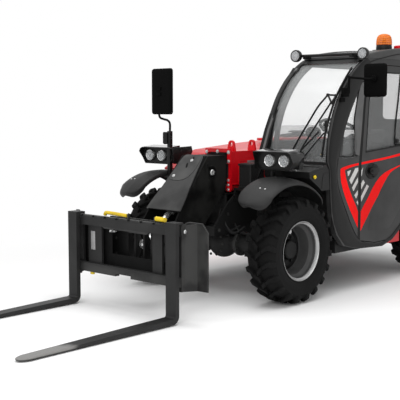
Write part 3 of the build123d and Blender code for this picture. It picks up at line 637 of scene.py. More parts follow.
# on each cheek a pin with its round boss and keeper plate, and the cap of the lower pin
pins = Part()
for hand in (1, -1):
    x, z = 0.274, 0.915
    y = hand * 0.1215
    pins.finish = 0
    pins.turn([(0, 0), (0.052, 0), (0.052, 0.004), (0.049, 0.006), (0.036, 0.006), (0.034, 0.002),
        (0, 0.002)], (x, y, z), steps=40, side=hand)
    pins.finish = 1
    pins.turn([(0, 0), (0.021, 0), (0.021, 0.01), (0.018, 0.013), (0.006, 0.013), (0.005, 0.011), (0, 0.011)],
        (x, y, z), steps=32, side=hand)
    pins.finish = 0
    keeper = [(x - 0.014, z - 0.014), (x + 0.012, z - 0.016), (x + 0.062, z + 0.056), (x + 0.052, z + 0.068),
        (x + 0.036, z + 0.062)]
    pins.press(keeper, "Y", y + hand * 0.002, y + hand * 0.006, 0.0015)
    for r, deep in ((0.034, 0.006), (0.019, 0.011)):
        pins.turn([(0, 0), (r, 0), (r, deep), (r - 0.003, deep + 0.002), (0, deep + 0.002)],
            (0.8, hand * 0.1755, 0.34), steps=32, side=hand)
# bosses, keepers and caps share the cheeks' painted-shade black
pins.make("head_pins", [head_shade_black, bright_zinc], "inner_boom")

# ---- cylinders --------------------------------------------------------------------------
# Black hydraulic barrels with a machined gland, and chromed rods that slide in them. They
# keep their modelled shape and only take a finish.
for name in ("lift_cylinder", "tilt_cylinder"):
    dress(f"{name}_barrel", casting)
    dress(f"{name}_rod", chrome)

# ---- fork carriage ----------------------------------------------------------------------
# A welded frame in black paint: notched upper bar, lower bar, uprights and a bent wing on
# each side, hooked on the tool carrier. Its locking handles and tabs are yellow.
carriage_black = black_paint("carriage_black", 36, rough=0.38, wear=0.2)
# the tool carrier gets a darker black than the frame: painted shade of the recess behind the carriage
carrier_shade = black_paint("carrier_painted_shade", 18, rough=0.45, wear=0.2)
dress("fork_frame", carriage_black)
dress("tool_carrier", carrier_shade)
lever_yellow = gloss_paint("lever_yellow", 226, 196, 24, rough=0.35, coat=0.2)
latch = Part()
# the long locking handle, bent down at its right end
latch.tube([(0.992, -0.214, 0.642), (0.993, -0.206, 0.657), (0.996, -0.185, 0.661), (1, -0.1, 0.66),
    (1.002, 0.02, 0.656)], 0.0125, sides=14)
# tabs under the lower bar
latch.block((0.996, -0.352, 0.218), (1.014, -0.322, 0.24))
latch.press([(0.47, 0.205), (0.492, 0.205), (0.488, 0.226), (0.478, 0.24), (0.466, 0.232)], "X", 0.975, 0.99,
    0.0015)
latch.make("carriage_yellow_handles", lever_yellow, "fork_carriage")
# a dark rubber sheet behind the frame's openings: painted shade between the bars
shade_sheet = Part()
shade_sheet.block((0.944, -0.5, 0.24), (0.95, -0.19, 0.61), 0.001)
shade_sheet.block((0.944, -0.19, 0.24), (0.95, 0.34, 0.372), 0.001)
shade_sheet.make("carriage_shade_sheet", rubber, "fork_carriage")
fork_lock = Part()
# the short handle beside the left fork moves along the bar with it
fork_lock.tube([(1.002, 0.3, 0.659), (1.002, 0.382, 0.657)], 0.0155, sides=16)
fork_lock.finish = 1
fork_lock.press([(0.992, 0.64), (1.012, 0.64), (1.01, 0.668), (0.994, 0.668)], "Y", 0.284, 0.296, 0.001)
fork_lock.make("left_fork_lock", [lever_yellow, carriage_black], "left_fork")
stops = Part()
stops.press([(0.992, 0.6), (1.012, 0.6), (1.01, 0.668), (0.994, 0.668)], "Y", 0.029, 0.041, 0.001)
# keeper plate under the upper bar, then an end cheek and a curled wire on each side
stops.press([(-0.215, 0.565), (0.25, 0.565), (0.228, 0.549), (0.06, 0.549), (0.048, 0.553), (-0.19, 0.553)],
    "X", 1.002, 1.022, 0.001)
for hand in (1, -1):
    stops.press([(0.942, 0.64), (1.002, 0.64), (1.008, 0.6), (1, 0.552), (0.962, 0.548), (0.945, 0.58)], "Y",
        hand * 0.5205, hand * 0.5305, 0.002)
    stops.tube([(0.958, hand * 0.523, 0.64), (0.948, hand * 0.545, 0.648), (0.925, hand * 0.58, 0.644),
        (0.905, hand * 0.625, 0.64)], 0.0055, sides=10)
stops.make("carriage_stops", carriage_black, "fork_carriage")

bright = Part()
bright.turn([(0, 0), (0.0085, 0), (0.0085, 0.03), (0.006, 0.034), (0, 0.034)], (1.012, -0.104, 0.545),
    axis="X", steps=24)
bright.turn([(0, 0), (0.006, 0), (0.006, 0.022), (0, 0.024)], (1.012, -0.076, 0.545), axis="X", steps=20)
for hand in (1, -1):
    bright.turn([(0, 0), (0.013, 0), (0.013, 0.005), (0.009, 0.009), (0, 0.01)],
        (0.974, hand * 0.5305, 0.592), steps=24, side=hand)
bright.make("carriage_bright_pins", bright_zinc, "fork_carriage")

label = Part()
label.block((0.9942, -0.362, 0.39), (0.9952, -0.318, 0.52), 0.0003)
label.make("carriage_blank_plate", silver_paint("label_grey", tone=168, rough=0.45), "fork_carriage")

rear_fix = Part()
for hand in (1, -1):
    for z in (0.285, 0.6):
        rear_fix.bolt((0.8745, hand * 0.36, z), (-1, 0, 0), radius=0.01, depth=0.009)
    for z in (0.36, 0.47, 0.58):
        rear_fix.bolt((0.8735, hand * 0.235, z), (1, 0, 0), radius=0.008, depth=0.007)
rear_fix.make("carrier_bolts", casting, "fork_carriage")

# ---- forks ------------------------------------------------------------------------------
# Forged steel forks: a bar of one section bent at a rounded heel, drawn thin and round at
# the tip, in black paint that the pallets have rubbed grey near the tips.
def fork_steel(name):
    material, wire = new_material(name)
    cloud = wire.noise(7, 7)
    streaks = wire.node("ShaderNodeMapping", {}, {"Vector": wire.spot(), "Scale": (3, 90, 40)})
    lines = wire.node("ShaderNodeTexNoise", {}, {"Vector": streaks, "Scale": 1, "Detail": 4})
    tip = (wire.spot("X") + (cloud - 0.5) * 0.22).between(HERE.x + 1.84, HERE.x + 1.93)
    worn = tip * wire.spot("Z").between(0.01, 0.018) * (0.55 + lines * 0.45)
    colour = worn.over(cloud.shades((0.3, grey(32)), (0.7, grey(42))), srgb(150, 149, 147))
    relief = (lines * 0.5 + cloud).relief(0.2, 0.0008)
    return skin(material, colour, 0.38 + cloud * 0.12 + worn * 0.06, relief, Metallic=worn * 0.5,
                Specular_IOR_Level=0.2)


FORK_FACE, FORK_BACK = 1.0604, 1.0274
FORK_TOP, FORK_LOW = 0.652, 0.009
FORK_THICK, TIP_THICK = 0.036, 0.013
TAPER_FROM, TAPER_TO, FORK_TIP = 1.1, 2.14, 2.24
HEEL_OUT, HEEL_IN = 0.05, 0.014
FORK_HALF, FORK_Y = 0.045, 0.487
# station: outer point, inner point, half width
fork_path = [((FORK_BACK, z), (FORK_FACE, z), FORK_HALF) for z in (FORK_TOP, 0.4, 0.2, 0.095)]
for k in range(9):
    angle = radians(180 + 90 * k / 8)
    c, s = 1 + cos(angle), 1 + sin(angle)
    outer = FORK_BACK + HEEL_OUT * c, FORK_LOW + HEEL_OUT * s
    inner = FORK_FACE + HEEL_IN * c, FORK_LOW + FORK_THICK + HEEL_IN * s
    fork_path.append((outer, inner, FORK_HALF))
for k in range(1, 8):
    x = TAPER_FROM + (TAPER_TO - TAPER_FROM) * k / 7
    thick = FORK_THICK + (TIP_THICK - FORK_THICK) * k / 7
    fork_path.append(((x, FORK_LOW), (x, FORK_LOW + thick), FORK_HALF))
for share in (0.3, 0.55, 0.75, 0.88, 0.96, 1):
    x = TAPER_TO + (FORK_TIP - TAPER_TO) * share
    width = FORK_HALF * sqrt(1 - share ** 2.3) + 0.004
    fork_path.append(((x, FORK_LOW + 0.001 * share), (x, FORK_LOW + TIP_THICK - 0.004 * share), width))
painted_fork = fork_steel("fork_black")
for name, hand in SIDES:
    fork = Part()
    y = hand * FORK_Y
    fork.shell([[(outer[0], y - half, outer[1]), (outer[0], y + half, outer[1]),
                 (inner[0], y + half, inner[1]), (inner[0], y - half, inner[1])]
                for outer, inner, half in fork_path], capped=True)
    hook = [(0.9825, 0.64), (1.03, 0.64), (1.03, FORK_TOP), (0.99, FORK_TOP)]
    fork.press(hook, "Y", y - FORK_HALF, y + FORK_HALF, 0.0015)
    piece = fork.make(f"{name}_pallet_fork", painted_fork, f"{name}_fork", sharp=30, bevel=0.0022)
    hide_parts(f"fork_{name}")

# ---- chassis ----------------------------------------------------------------------------
# Two deep side plates with cross plates in satin black, and a red sill along each side.
# Under the boom's mouth stands a folded cross member with hoses below it.
chassis_black = black_paint("chassis_black", 16, rough=0.5, wear=0.1)


def sill_or_plate(name):
    """Satin black, with the outer side sills in the machine's red."""
    material, wire = new_material(name)
    cloud = wire.noise(5, 6)
    outwards = wire.maths("ABSOLUTE", wire.spot("Y") - HERE.y, 0)
    sill = (outwards > 0.595) * (wire.spot("Z") < 0.45) * (wire.spot("X") < HERE.x - 1.12)
    red = cloud.shades((0.3, srgb(190, 52, 56)), (0.65, srgb(214, 60, 64)))
    colour = sill.over(cloud.shades((0.3, grey(18)), (0.7, grey(30))), red)
    return skin(material, colour, 0.5 - sill * 0.2 + cloud * 0.1, cloud.relief(0.1, 0.001),
                Specular_IOR_Level=0.2)


dress("chassis_frame", sill_or_plate("chassis_black_red_sill"))
cross = Part()
cross.press([(-0.112, 0.52), (0.112, 0.52), (0.112, 0.735), (0.095, 0.752), (-0.095, 0.752), (-0.112, 0.735)],
    "X", 0.092, 0.104, 0.002)
cross.block((0.02, -0.112, 0.742), (0.104, 0.112, 0.752), 0.001)
for hand in (1, -1):
    cross.press([(-0.3, 0.735), (0.05, 0.735), (0.05, 0.7), (-0.2, 0.64), (-0.3, 0.64)], "Y",
        hand * 0.129, hand * 0.139, 0.002)
cross.make("front_cross_member", chassis_black)
hoses = Part()
for y, drop in ((0.055, 0), (0.078, 0.02), (0.1, 0.035), (-0.055, 0.01), (-0.08, 0.03)):
    hoses.tube([(0.085, y, 0.66), (0.12, y * 1.1, 0.6 - drop), (0.125, y * 1.5, 0.53 - drop),
        (0.09, y * 1.9, 0.5 - drop), (0.02, y * 2.2, 0.505)], 0.011)
for hand in (1, -1):
    hoses.tube([(0.03, hand * 0.135, 0.52), (0.05, hand * 0.2, 0.47), (0.02, hand * 0.3, 0.455),
        (-0.06, hand * 0.36, 0.44)], 0.009)
hoses.make("axle_hoses", black_paint("hose_black", 20, rough=0.55))
chassis_fix = Part()
for hand in (1, -1):
    for x, z in ((0.2, 0.49), (0.1, 0.6), (-0.25, 0.66), (-0.25, 0.5), (-1.62, 0.55), (-1.62, 0.7),
            (-2.05, 0.6), (-2.05, 0.8)):
        chassis_fix.bolt((x, hand * 0.128, z), (0, hand, 0), radius=0.01, depth=0.009)
    chassis_fix.turn([(0, 0), (0.045, 0), (0.045, 0.006), (0.03, 0.01), (0, 0.01)],
        (-1.9, hand * 0.146, 1.02), steps=36, side=hand)
chassis_fix.make("chassis_bolts", casting)

# ---- wings ------------------------------------------------------------------------------
# Moulded dark grey plastic covers over the wheels: a broad crowned scoop with rolled
# edges, a soft crease along its crown, rounded ends and two rivets on its front.
def moulded_plastic(name, tone, rough=0.45, grain=700, relief=0.25, shine=0.22):
    material, wire = new_material(name)
    haze = wire.noise(4, 5)
    pebble = wire.node("ShaderNodeTexVoronoi", {}, {"Vector": wire.spot(), "Scale": grain})
    return skin(material, haze.shades((0.3, grey(tone * 0.88)), (0.7, grey(tone * 1.1))), rough + haze * 0.14,
                pebble.relief(relief, 0.0006), Specular_IOR_Level=shine)


WING_MIDDLE_Z = 0.392
WING_SECTION = [(0, 0.466), (0, 0.484), (0.003, 0.493), (0.01, 0.499), (0.035, 0.5025), (0.08, 0.5045),
    (0.112, 0.5048), (0.12, 0.503), (0.15, 0.5005), (0.19, 0.496), (0.225, 0.488), (0.248, 0.478),
    (0.262, 0.469), (0.269, 0.46), (0.27, 0.456)]
WING_IN = 0.475
WING_WIDE = 0.27
WING_R = 0.505
WING_T = 0.005
WING_STEPS = 40
NOSE_SHARE, TAIL_SHARE = 0.16, 0.14
# end, middle, first and last angle, way it faces, share of the lip, share of the dip, lift
WINGS = [("front", 0.1, 43, 143, 1, 1, 1, 0), ("rear", REAR_AXLE_X - 0.1, 134.8, 42, -1, 0.75, 0, 0.008)]
wing_plastic = moulded_plastic("wing_plastic", 36, rough=0.45)
first_wing = None
for end, middle_x, start, stop, _, lip, dip, lift in WINGS:
    for side_name, hand in SIDES:
        wing = Part()
        rings = []
        for i in range(WING_STEPS + 1):
            share = i / WING_STEPS
            angle = radians(start + (stop - start) * share)
            nose = 1 - min(1, share / NOSE_SHARE)
            tail = 1 - min(1, (1 - share) / TAIL_SHARE)
            narrow = 1 - (1 - sqrt(1 - nose ** 2.2)) * 0.62
            narrow *= 1 - (1 - sqrt(1 - tail ** 2.2)) * 0.5
            outer_row, inner_row = [], []
            for out, radius in WING_SECTION:
                y = WING_WIDE / 2 + (out - WING_WIDE / 2) * narrow
                r = WING_R - (WING_R - radius) * (1 if share > 0.1 else 1.25) * lip
                r -= dip * (0.01 * nose ** 2 + 0.012 * tail ** 2)
                for row, thick in ((outer_row, 0), (inner_row, WING_T)):
                    wall = thick if y < 0.02 else -thick if y > 0.25 else 0
                    row.append(polar(middle_x, hand * (WING_IN + y + wall), WING_MIDDLE_Z + lift, r - thick,
                                     angle))
            rings.append(outer_row + inner_row[::-1])
        wing.shell(rings, capped=True)
        piece = wing.make(f"{end}_{side_name}_wing", wing_plastic, sharp=50)
        soften = piece.modifiers.new("soft form", "SUBSURF")
        soften.levels = soften.render_levels = 1
        first_wing = first_wing or piece
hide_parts("fenders")

RIVETS = (0.62, 0.501), (0.66, 0.497)
rivets = Part()
struts = Part()
for middle_x, ahead in [(row[1], row[4]) for row in WINGS]:
    for hand in (1, -1):
        lean = radians(62 if ahead > 0 else 118)
        out, side_way = Vector(polar(0, 0, 0, 1, lean)), Vector((0, 1, 0))
        for y, r in RIVETS:
            place = Vector(polar(middle_x, hand * y, WING_MIDDLE_Z, r, lean))
            rivets.shell([
                circle(place + out * height, side_way, out.cross(side_way), size, 16)
                for size, height in ((0.0065, 0), (0.0065, 0.0012), (0.0045, 0.0032), (0.0015, 0.004))],
                capped=True)
        x = middle_x - 0.075 * ahead
        floor_z = 0.784 if ahead > 0 else 0.788
        struts.block((x - 0.025, hand * 0.463, floor_z), (x + 0.025, hand * 0.4745, 0.872))
        struts.block((x - 0.025, hand * 0.42, floor_z), (x + 0.025, hand * 0.4745, floor_z + 0.008))
rivets.make("wing_rivets", bright_zinc)
struts.make("wing_struts", chassis_black)

# ---- front cowl -------------------------------------------------------------------------
# Black plastic cover between the left wing and the cab, with a square box beside the boom,
# a yellow filler cap on its face and a small chromed latch on its top.
cowl_plastic = moulded_plastic("cowl_plastic", 28, rough=0.4, relief=0.15)
dress("front_cowl", cowl_plastic)
# the lid is moulded a little lighter and glossier than the cowl: its lighter colour is painted light on the
# top
box_lid = Part()
box_lid.block((-0.124, 0.171, 0.955), (0.044, 0.294, 0.971), 0.004, rounds=3)
box_lid.block((-0.11, 0.185, 0.9715), (0.03, 0.28, 0.974))
box_lid.block((0.04, 0.18, 0.79), (0.046, 0.285, 0.806))
box_lid.make("front_box_lid", moulded_plastic("lid_plastic_lit_top", 34, rough=0.3, relief=0.1))
seams = Part()
for y in (0.2005, 0.26):
    seams.block((0.0402, y, 0.812), (0.0418, y + 0.004, 0.95), 0.0006)
seams.tube([(-0.092, 0.716, 0.9), (-0.19, 0.716, 0.925), (-0.3, 0.716, 0.94)], 0.003, sides=8)
seams.block((-0.32, 0.32, 0.948), (-0.225, 0.69, 0.958), 0.003)
seams.press([(-0.24, 0.8), (-0.33, 0.8), (-0.322, 0.915), (-0.26, 0.905), (-0.245, 0.85)], "Y", 0.716, 0.7185,
    0.001)
seams.make("cowl_seams", cowl_plastic)
cap = Part()
cap.turn([(0, 0), (0.013, 0), (0.0135, 0.003), (0.0135, 0.008), (0.011, 0.01), (0, 0.011)],
    (-0.15, 0.7165, 0.888), steps=32)
cap.block((-0.16, 0.727, 0.885), (-0.14, 0.73, 0.891), 0.001)
cap.make("cowl_filler_cap", lever_yellow)
latch = Part()
latch.turn([(0, 0), (0.012, 0), (0.012, 0.01), (0.008, 0.013), (0, 0.014)], (-0.115, 0.56, 0.938), axis="X",
    steps=24)
latch.tube([(-0.1, 0.56, 0.945), (-0.088, 0.585, 0.94), (-0.085, 0.61, 0.93)], 0.004, sides=10)
latch.turn([(0, 0), (0.007, 0), (0.007, 0.004), (0, 0.005)], (0.0465, 0.262, 0.785), axis="X", steps=20)
latch.make("cowl_latch", bright_zinc)

# ---- headlamps --------------------------------------------------------------------------
# A hooded black pod on each side with two round lamps in chromed bezels behind clear
# lenses. The mirror post stands at the right pod's inner end.
pod_black = moulded_plastic("pod_black", 20, rough=0.24, relief=0.1)
POD_SHELL = [(-0.052, 0.52, 0.7, 1, 1.055), (-0.03, 0.47, 0.722, 0.985, 1.064),
    (0.03, 0.43, 0.735, 0.962, 1.069), (0.1, 0.416, 0.744, 0.948, 1.072), (0.138, 0.412, 0.75, 0.944, 1.073)]
POD_LIP_TOP = 0.03
LAMP_PLACES = (0.535, 0.661)
LAMP_Z = 1.01
POST_X, POST_Y = 0.125, -0.448
shell_piece = None


def pod_ring(hand, x, inner, outer, low, high, lip=0):
    """The pod's outline at one station; its upper half leans ahead by the lip."""
    corners = [(inner, high - 0.006), (inner + 0.008, high), (outer - 0.034, high),
        (outer - 0.01, high - 0.012), (outer, high - 0.034), (outer - 0.004, low + 0.052),
        (outer - 0.04, low), (inner + 0.036, low), (inner, low + 0.04)]
    return [(x + (lip if z > (low + high) / 2 else 0), hand * y, z) for y, z in corners]


for side_name, hand in SIDES:
    pod = Part()
    x, inner, outer, low, high = POD_SHELL[-1]
    rings = [pod_ring(hand, *row, POD_LIP_TOP * max(0, row[0]) / x) for row in POD_SHELL]
    for back, wall, lip in ((-0.001, 0.004, POD_LIP_TOP), (0.02, 0.007, 0)):
        rings.append(pod_ring(hand, x - back, inner + wall, outer - wall, low + wall, high - wall, lip))
    pod.shell(rings, capped=True)
    if hand > 0:
        # bracket under the left pod, the diagonal stay to the front arm and the cheek behind
        pod.block((-0.02, 0.444, 0.784), (0.02, 0.472, 0.965), 0.003)
        pod.tube([(0.01, 0.295, 0.8), (0.055, 0.405, 0.955), (0.06, 0.43, 0.985)], 0.012, smooth=1)
        pod.press([(-0.02, 0.944), (-0.06, 0.944), (-0.075, 0.992), (-0.02, 0.992)], "Y", 0.5, 0.68, 0.003)
    pod.press([(0.145, 1.073), (-0.07, 1.08), (-0.082, 1.04), (-0.055, 0.99), (-0.01, 0.96), (0.06, 0.946),
        (0.13, 0.948)], "Y", hand * 0.402, hand * 0.411, 0.002)
    piece = pod.make(f"{side_name}_lamp_pod", pod_black, sharp=28, bevel=0.002)
    shell_piece = shell_piece or piece
post = Part()
post.block((POST_X - 0.016, POST_Y - 0.016, 0.784), (POST_X + 0.016, POST_Y + 0.016, 1.2), 0.004)
post.block((0.088, -0.484, 0.784), (0.162, -0.412, 0.792))
post.press([(-0.486, 1.098), (-0.462, 1.098), (-0.456, 1.106), (-0.456, 1.182), (-0.466, 1.192),
    (-0.494, 1.192), (-0.5, 1.182), (-0.5, 1.106)], "X", 0.108, 0.15, 0.003)
for z in (1.115, 1.15, 1.18):
    post.bolt((0.128, -0.4555, z), (0, 1, 0), radius=0.008, depth=0.012)
post.make("mirror_post", pod_black)
clips = Part()
for z in (1.122, 1.175):
    clips.block((0.118, -0.4553, z - 0.008), (0.14, -0.44, z + 0.008))
clips.make("post_clips", moulded_plastic("clip_dark_red", 52, rough=0.5))
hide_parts("headlamp_housings")
# a lighter, glossier copy of the pod black on the pod tops: its lighter colour is painted light on the tops,
# the gloss is its own
pod_tops = Part()
for hand in (1, -1):
    pod_tops.press([(0.154, 1.0705), (0.04, 1.069), (0.04, 1.086), (0.044, 1.087), (0.152, 1.0755)], "Y",
        hand * 0.424, hand * 0.712, 0.0015)
pod_tops.make("pod_top_lit_covers", gloss_paint("pod_top_lit_gloss", 40, 40, 42, rough=0.1, coat=1, shine=0.8))

chrome_bezel = silver_paint("lamp_chrome", tone=232, rough=0.12)


def lamp_glass(name):
    """Clear ribbed lens: a pale see-through veil that is painted reflection, more opaque at grazing angles;
    its flutes vary roughness and relief.
    """
    material, wire = new_material(name)
    flutes = wire.bands("Y", 60, 0)
    return skin(material, srgb(225, 228, 230), 0.06 + flutes * 0.05, flutes.relief(0.4, 0.001),
                Alpha=0.22 + wire.rim(0.35) * 0.5)


clear_lens = lamp_glass("lamp_lens")
reflector = silver_paint("lamp_reflector", tone=238, rough=0.16)
lamp_piece = None
for side_name, hand in SIDES:
    bowls = Part()
    lenses = Part()
    for y in LAMP_PLACES:
        place = (0, hand * y, LAMP_Z)
        # bezel ring, then the bowl with a shielded bulb in its middle
        bowls.finish = 0
        bowls.turn([(0.0375, 0.118), (0.041, 0.118), (0.0425, 0.124), (0.0425, 0.134), (0.04, 0.138),
            (0.037, 0.136), (0.036, 0.13)], place, axis="X", steps=48)
        bowls.finish = 1
        bowls.turn([(0.036, 0.13), (0.032, 0.122), (0.024, 0.112), (0.012, 0.108), (0, 0.108), (0, 0.1),
            (0.03, 0.102), (0.037, 0.118)], place, axis="X", steps=40)
        bowls.turn([(0, 0.126), (0.009, 0.124), (0.012, 0.118), (0.012, 0.108), (0, 0.108)], place, axis="X",
            steps=24)
        bowls.finish = 2
        y *= hand
        holder = oblong(y - 0.003, y + 0.003, LAMP_Z - 0.031, LAMP_Z + 0.012)
        bowls.press(holder, "X", 0.1265, 0.1285, 0.0005)
        # shade over the upper part of the bowl
        shade = []
        for wide, tall, angles in ((0.0345, 0.0345, range(15, 166, 10)), (0.032, 0.016, range(165, 14, -15))):
            for angle in map(radians, angles):
                shade.append((y + wide * cos(angle), LAMP_Z + tall * sin(angle)))
        bowls.press(shade, "X", 0.1262, 0.1275, 0.0002)
        lenses.turn([(0, 0.1362), (0.02, 0.1356), (0.03, 0.1338), (0.036, 0.131), (0.036, 0.1295),
            (0.03, 0.1323), (0.02, 0.1341), (0, 0.1347)], place, axis="X", steps=48)
    piece = bowls.make(f"{side_name}_lamp_bowls", [chrome_bezel, reflector, disc_black])
    lamp_piece = lamp_piece or piece
    lenses.make(f"{side_name}_lamp_lenses", clear_lens, sharp=60)
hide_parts("headlamps")

# ---- mirrors ----------------------------------------------------------------------------
# Black moulded mirror shells with rounded corners and glass on the back. The right one
# stands on a bent tube from the mirror post, the left one on a ball-jointed arm.
mirror_black = moulded_plastic("mirror_black", 5, rough=0.6, relief=0.2, shine=0.06)


def mirror_glass(name):
    material, wire = new_material(name)
    return skin(material, srgb(205, 210, 214), 0.02 + wire.noise(11, 4) * 0.05, Metallic=1)


silvered = mirror_glass("mirror_glass")


def rounded(y0, y1, z0, z1, radius, steps=6):
    """A rectangle with rounded corners as (y, z) points."""
    outline = []
    for y, z, start in ((y1 - radius, z1 - radius, 0), (y0 + radius, z1 - radius, 90),
            (y0 + radius, z0 + radius, 180), (y1 - radius, z0 + radius, 270)):
        for k in range(steps + 1):
            angle = radians(start + 90 * k / steps)
            outline.append((y + radius * cos(angle), z + radius * sin(angle)))
    return outline


MIRRORS = [("right", -0.664, -0.448, 1.326, 1.68, 0.086, 0.022), ("left", 0.812, 0.997, 1.454, 1.695, -0.634,
    0.024)]
mirror_piece = None
for side_name, y0, y1, z0, z1, x, corner in MIRRORS:
    shell = Part()
    rings = []
    for depth, inset in ((0, 0.004), (0.004, 0), (0.016, 0), (0.024, 0.003), (0.0275, 0.01), (0.028, 0.03)):
        ring = rounded(y0 + inset, y1 - inset, z0 + inset, z1 - inset, max(0.006, corner - inset * 0.5))
        rings.append([(x + depth, y, z) for y, z in ring])
    shell.shell(rings, capped=True)
    if side_name == "right":
        shell.tube([(POST_X, POST_Y, 1.19), (POST_X, POST_Y, 1.255), (0.118, -0.478, 1.28),
            (0.11, -0.53, 1.29), (0.104, -0.575, 1.302), (0.1, -0.592, 1.335), (0.098, -0.592, 1.4)], 0.0085,
            sides=14, smooth=8)
        for z in ((z0 + z1) / 2 - 0.02, (z0 + z1) / 2 + 0.02):
            shell.block((x + 0.0275, -0.602, z - 0.012), (x + 0.034, -0.556, z + 0.012))
    else:
        shell.turn([(0, 0), (0.026, 0), (0.027, 0.006), (0.022, 0.016), (0, 0.018)],
            (x + 0.026, 0.905, 1.585), axis="X", steps=32)
        shell.tube([(-0.59, 0.905, 1.585), (-0.578, 0.87, 1.583), (-0.556, 0.8, 1.59),
            (-0.523, 0.745, 1.597)], 0.0085, sides=14)
        # upright of the bracket, its clamp and the foot bolted to the pillar
        shell.tube([(-0.523, 0.745, 1.606), (-0.521, 0.745, 1.48)], 0.0085, sides=14)
        shell.block((-0.523, 0.727, 1.455), (-0.447, 0.752, 1.52), 0.006)
        shell.block((-0.48, 0.726, 1.417), (-0.43, 0.742, 1.446), 0.004)
        shell.turn([(0, -0.01), (0.01, -0.009), (0.014, 0), (0.01, 0.009), (0, 0.01)], (-0.59, 0.905, 1.585),
            axis="X", steps=24)
    piece = shell.make(f"{side_name}_mirror_shell", mirror_black, sharp=40)
    mirror_piece = mirror_piece or piece
    pane = Part()
    ring = rounded(y0 + 0.012, y1 - 0.012, z0 + 0.012, z1 - 0.012, corner * 0.7)
    pane.press(ring, "X", x - 0.0012, x + 0.0006, 0.0004)
    pane.make(f"{side_name}_mirror_pane", silvered)
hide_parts("mirrors")

# ---- cab body ---------------------------------------------------------------------------
# Welded steel cab in dark grey paint. A black moulded band wraps the front pillar and runs
# on under the door; a rubber seal closes the gap ahead of the door.
cab_grey = black_paint("cab_grey", 56, rough=0.4, speckle=0.5)
cab_black = moulded_plastic("cab_black", 15, rough=0.42, relief=0.1)
cab_inner = moulded_plastic("cab_inner_black", 42, rough=0.5)
seal_rubber = moulded_plastic("seal_rubber", 14, rough=0.55, grain=300)
dress("cab_side_frame", cab_grey)
dress("cab_frame", cab_inner)
CAB_FACE = 0.72
PILLAR_BAND = [(-0.79, 1.75, -0.85, 1.716), (-0.7, 1.703, -0.8, 1.632), (-0.61, 1.638, -0.733, 1.557),
    (-0.515, 1.548, -0.672, 1.482), (-0.438, 1.448, -0.617, 1.396), (-0.375, 1.33, -0.567, 1.317),
    (-0.33, 1.19, -0.498, 1.182), (-0.309, 1.08, -0.466, 1.085), (-0.305, 0.99, -0.434, 1.01),
    (-0.335, 0.926, -0.42, 0.926), (-0.343, 0.84, -0.425, 0.85), (-0.352, 0.72, -0.455, 0.77),
    (-0.362, 0.62, -0.5, 0.69), (-0.385, 0.53, -0.552, 0.608), (-0.44, 0.44, -0.604, 0.524),
    (-0.53, 0.356, -0.664, 0.444), (-0.64, 0.331, -0.716, 0.394), (-0.745, 0.314, -0.765, 0.364),
    (-0.9, 0.307, -0.91, 0.332), (-1.057, 0.299, -1.05, 0.326), (-1.203, 0.337, -1.18, 0.366),
    (-1.352, 0.428, -1.32, 0.454), (-1.446, 0.562, -1.418, 0.58), (-1.532, 0.668, -1.49, 0.69)]
band = Part()
rings = []
for i, (ox, oz, ix, iz) in enumerate(PILLAR_BAND):
    ahead = PILLAR_BAND[min(i + 1, len(PILLAR_BAND) - 1)]
    behind = PILLAR_BAND[max(i - 1, 0)]
    run = Vector((ahead[0] - behind[0], 0, ahead[1] - behind[1])).normalized()
    away = Vector((-run.z, 0, run.x))
    outer, inner = Vector((ox, 0, oz)), Vector((ix, 0, iz))
    inward = inner - outer
    if away.dot(inward) > 0:
        away = -away
    ring = []
    for share, lift, y in ((0, 0.002, 0.7085), (0, 0.002, 0.7135), (0.02, 0.001, 0.7175), (0.08, 0, 0.7218),
            (0.3, 0, 0.7245), (0.7, 0, 0.725), (0.94, 0, 0.7235), (1, 0, 0.7203), (0.97, 0, 0.719),
            (0.05, -0.004, 0.719), (0.05, -0.004, 0.7085)):
        point = outer + inward * share + away * lift
        ring.append((point.x, y, point.z))
    rings.append(ring)
band.shell(rings, capped=True)
band.make("pillar_band", cab_black, sharp=50)
seam = Part()
seam.tube([(ix - 0.002, CAB_FACE + 0.0012, iz) for *_, ix, iz in PILLAR_BAND[8:]], 0.0022, sides=8,
    smooth=3)
seam.make("pillar_seam", seal_rubber)

seals = Part()
SPLIT_EDGE = [(-0.7285, 0.376), (-0.7315, 0.95), (-0.7815, 1.435), (-0.8335, 1.7)]
outline = [(x + 0.02, z) for x, z in SPLIT_EDGE] + [(x - 0.001, z) for x, z in SPLIT_EDGE[::-1]]
seals.press(outline, "Y", CAB_FACE - 0.004, CAB_FACE + 0.0012, 0.0008)
# glazing rubber round the quarter window and along both edges of the windscreen
QUARTER = [(-0.446, 1.022), (-0.657, 1.034), (-0.642, 1.264), (-0.66, 1.36), (-0.696, 1.493), (-0.719, 1.553),
    (-0.672, 1.482), (-0.617, 1.396), (-0.567, 1.317), (-0.498, 1.182)]
FRAME_EDGE = [(-0.712, 1.02), (-0.737, 1.197), (-0.7615, 1.435), (-0.79, 1.58)]
quarter_frame = Part()
quarter_frame.press(QUARTER[1:6] + FRAME_EDGE[::-1], "Y", CAB_FACE - 0.004, CAB_FACE + 0.0008, 0.0005)
quarter_frame.make("quarter_frame", black_paint("frame_grey", 92, rough=0.4))
seals.tube([(x, CAB_FACE - 0.004, z) for x, z in QUARTER + QUARTER[:1]], 0.0055, sides=8, smooth=4)
SCREEN_CENTRE_X, SCREEN_CENTRE_Z = -1.1288, 0.999
SCREEN_R = 0.8239
SCREEN_STEPS = 30


def screen_arc(reach, first=-1, last=65):
    """Points (x, z) up the windscreen's curve, pushed outwards by reach."""
    arc = []
    for k in range(SCREEN_STEPS + 1):
        angle = radians(first + (last - first) * k / SCREEN_STEPS)
        arc.append(polar(SCREEN_CENTRE_X, 0, SCREEN_CENTRE_Z, SCREEN_R + reach, angle)[::2])
    return arc


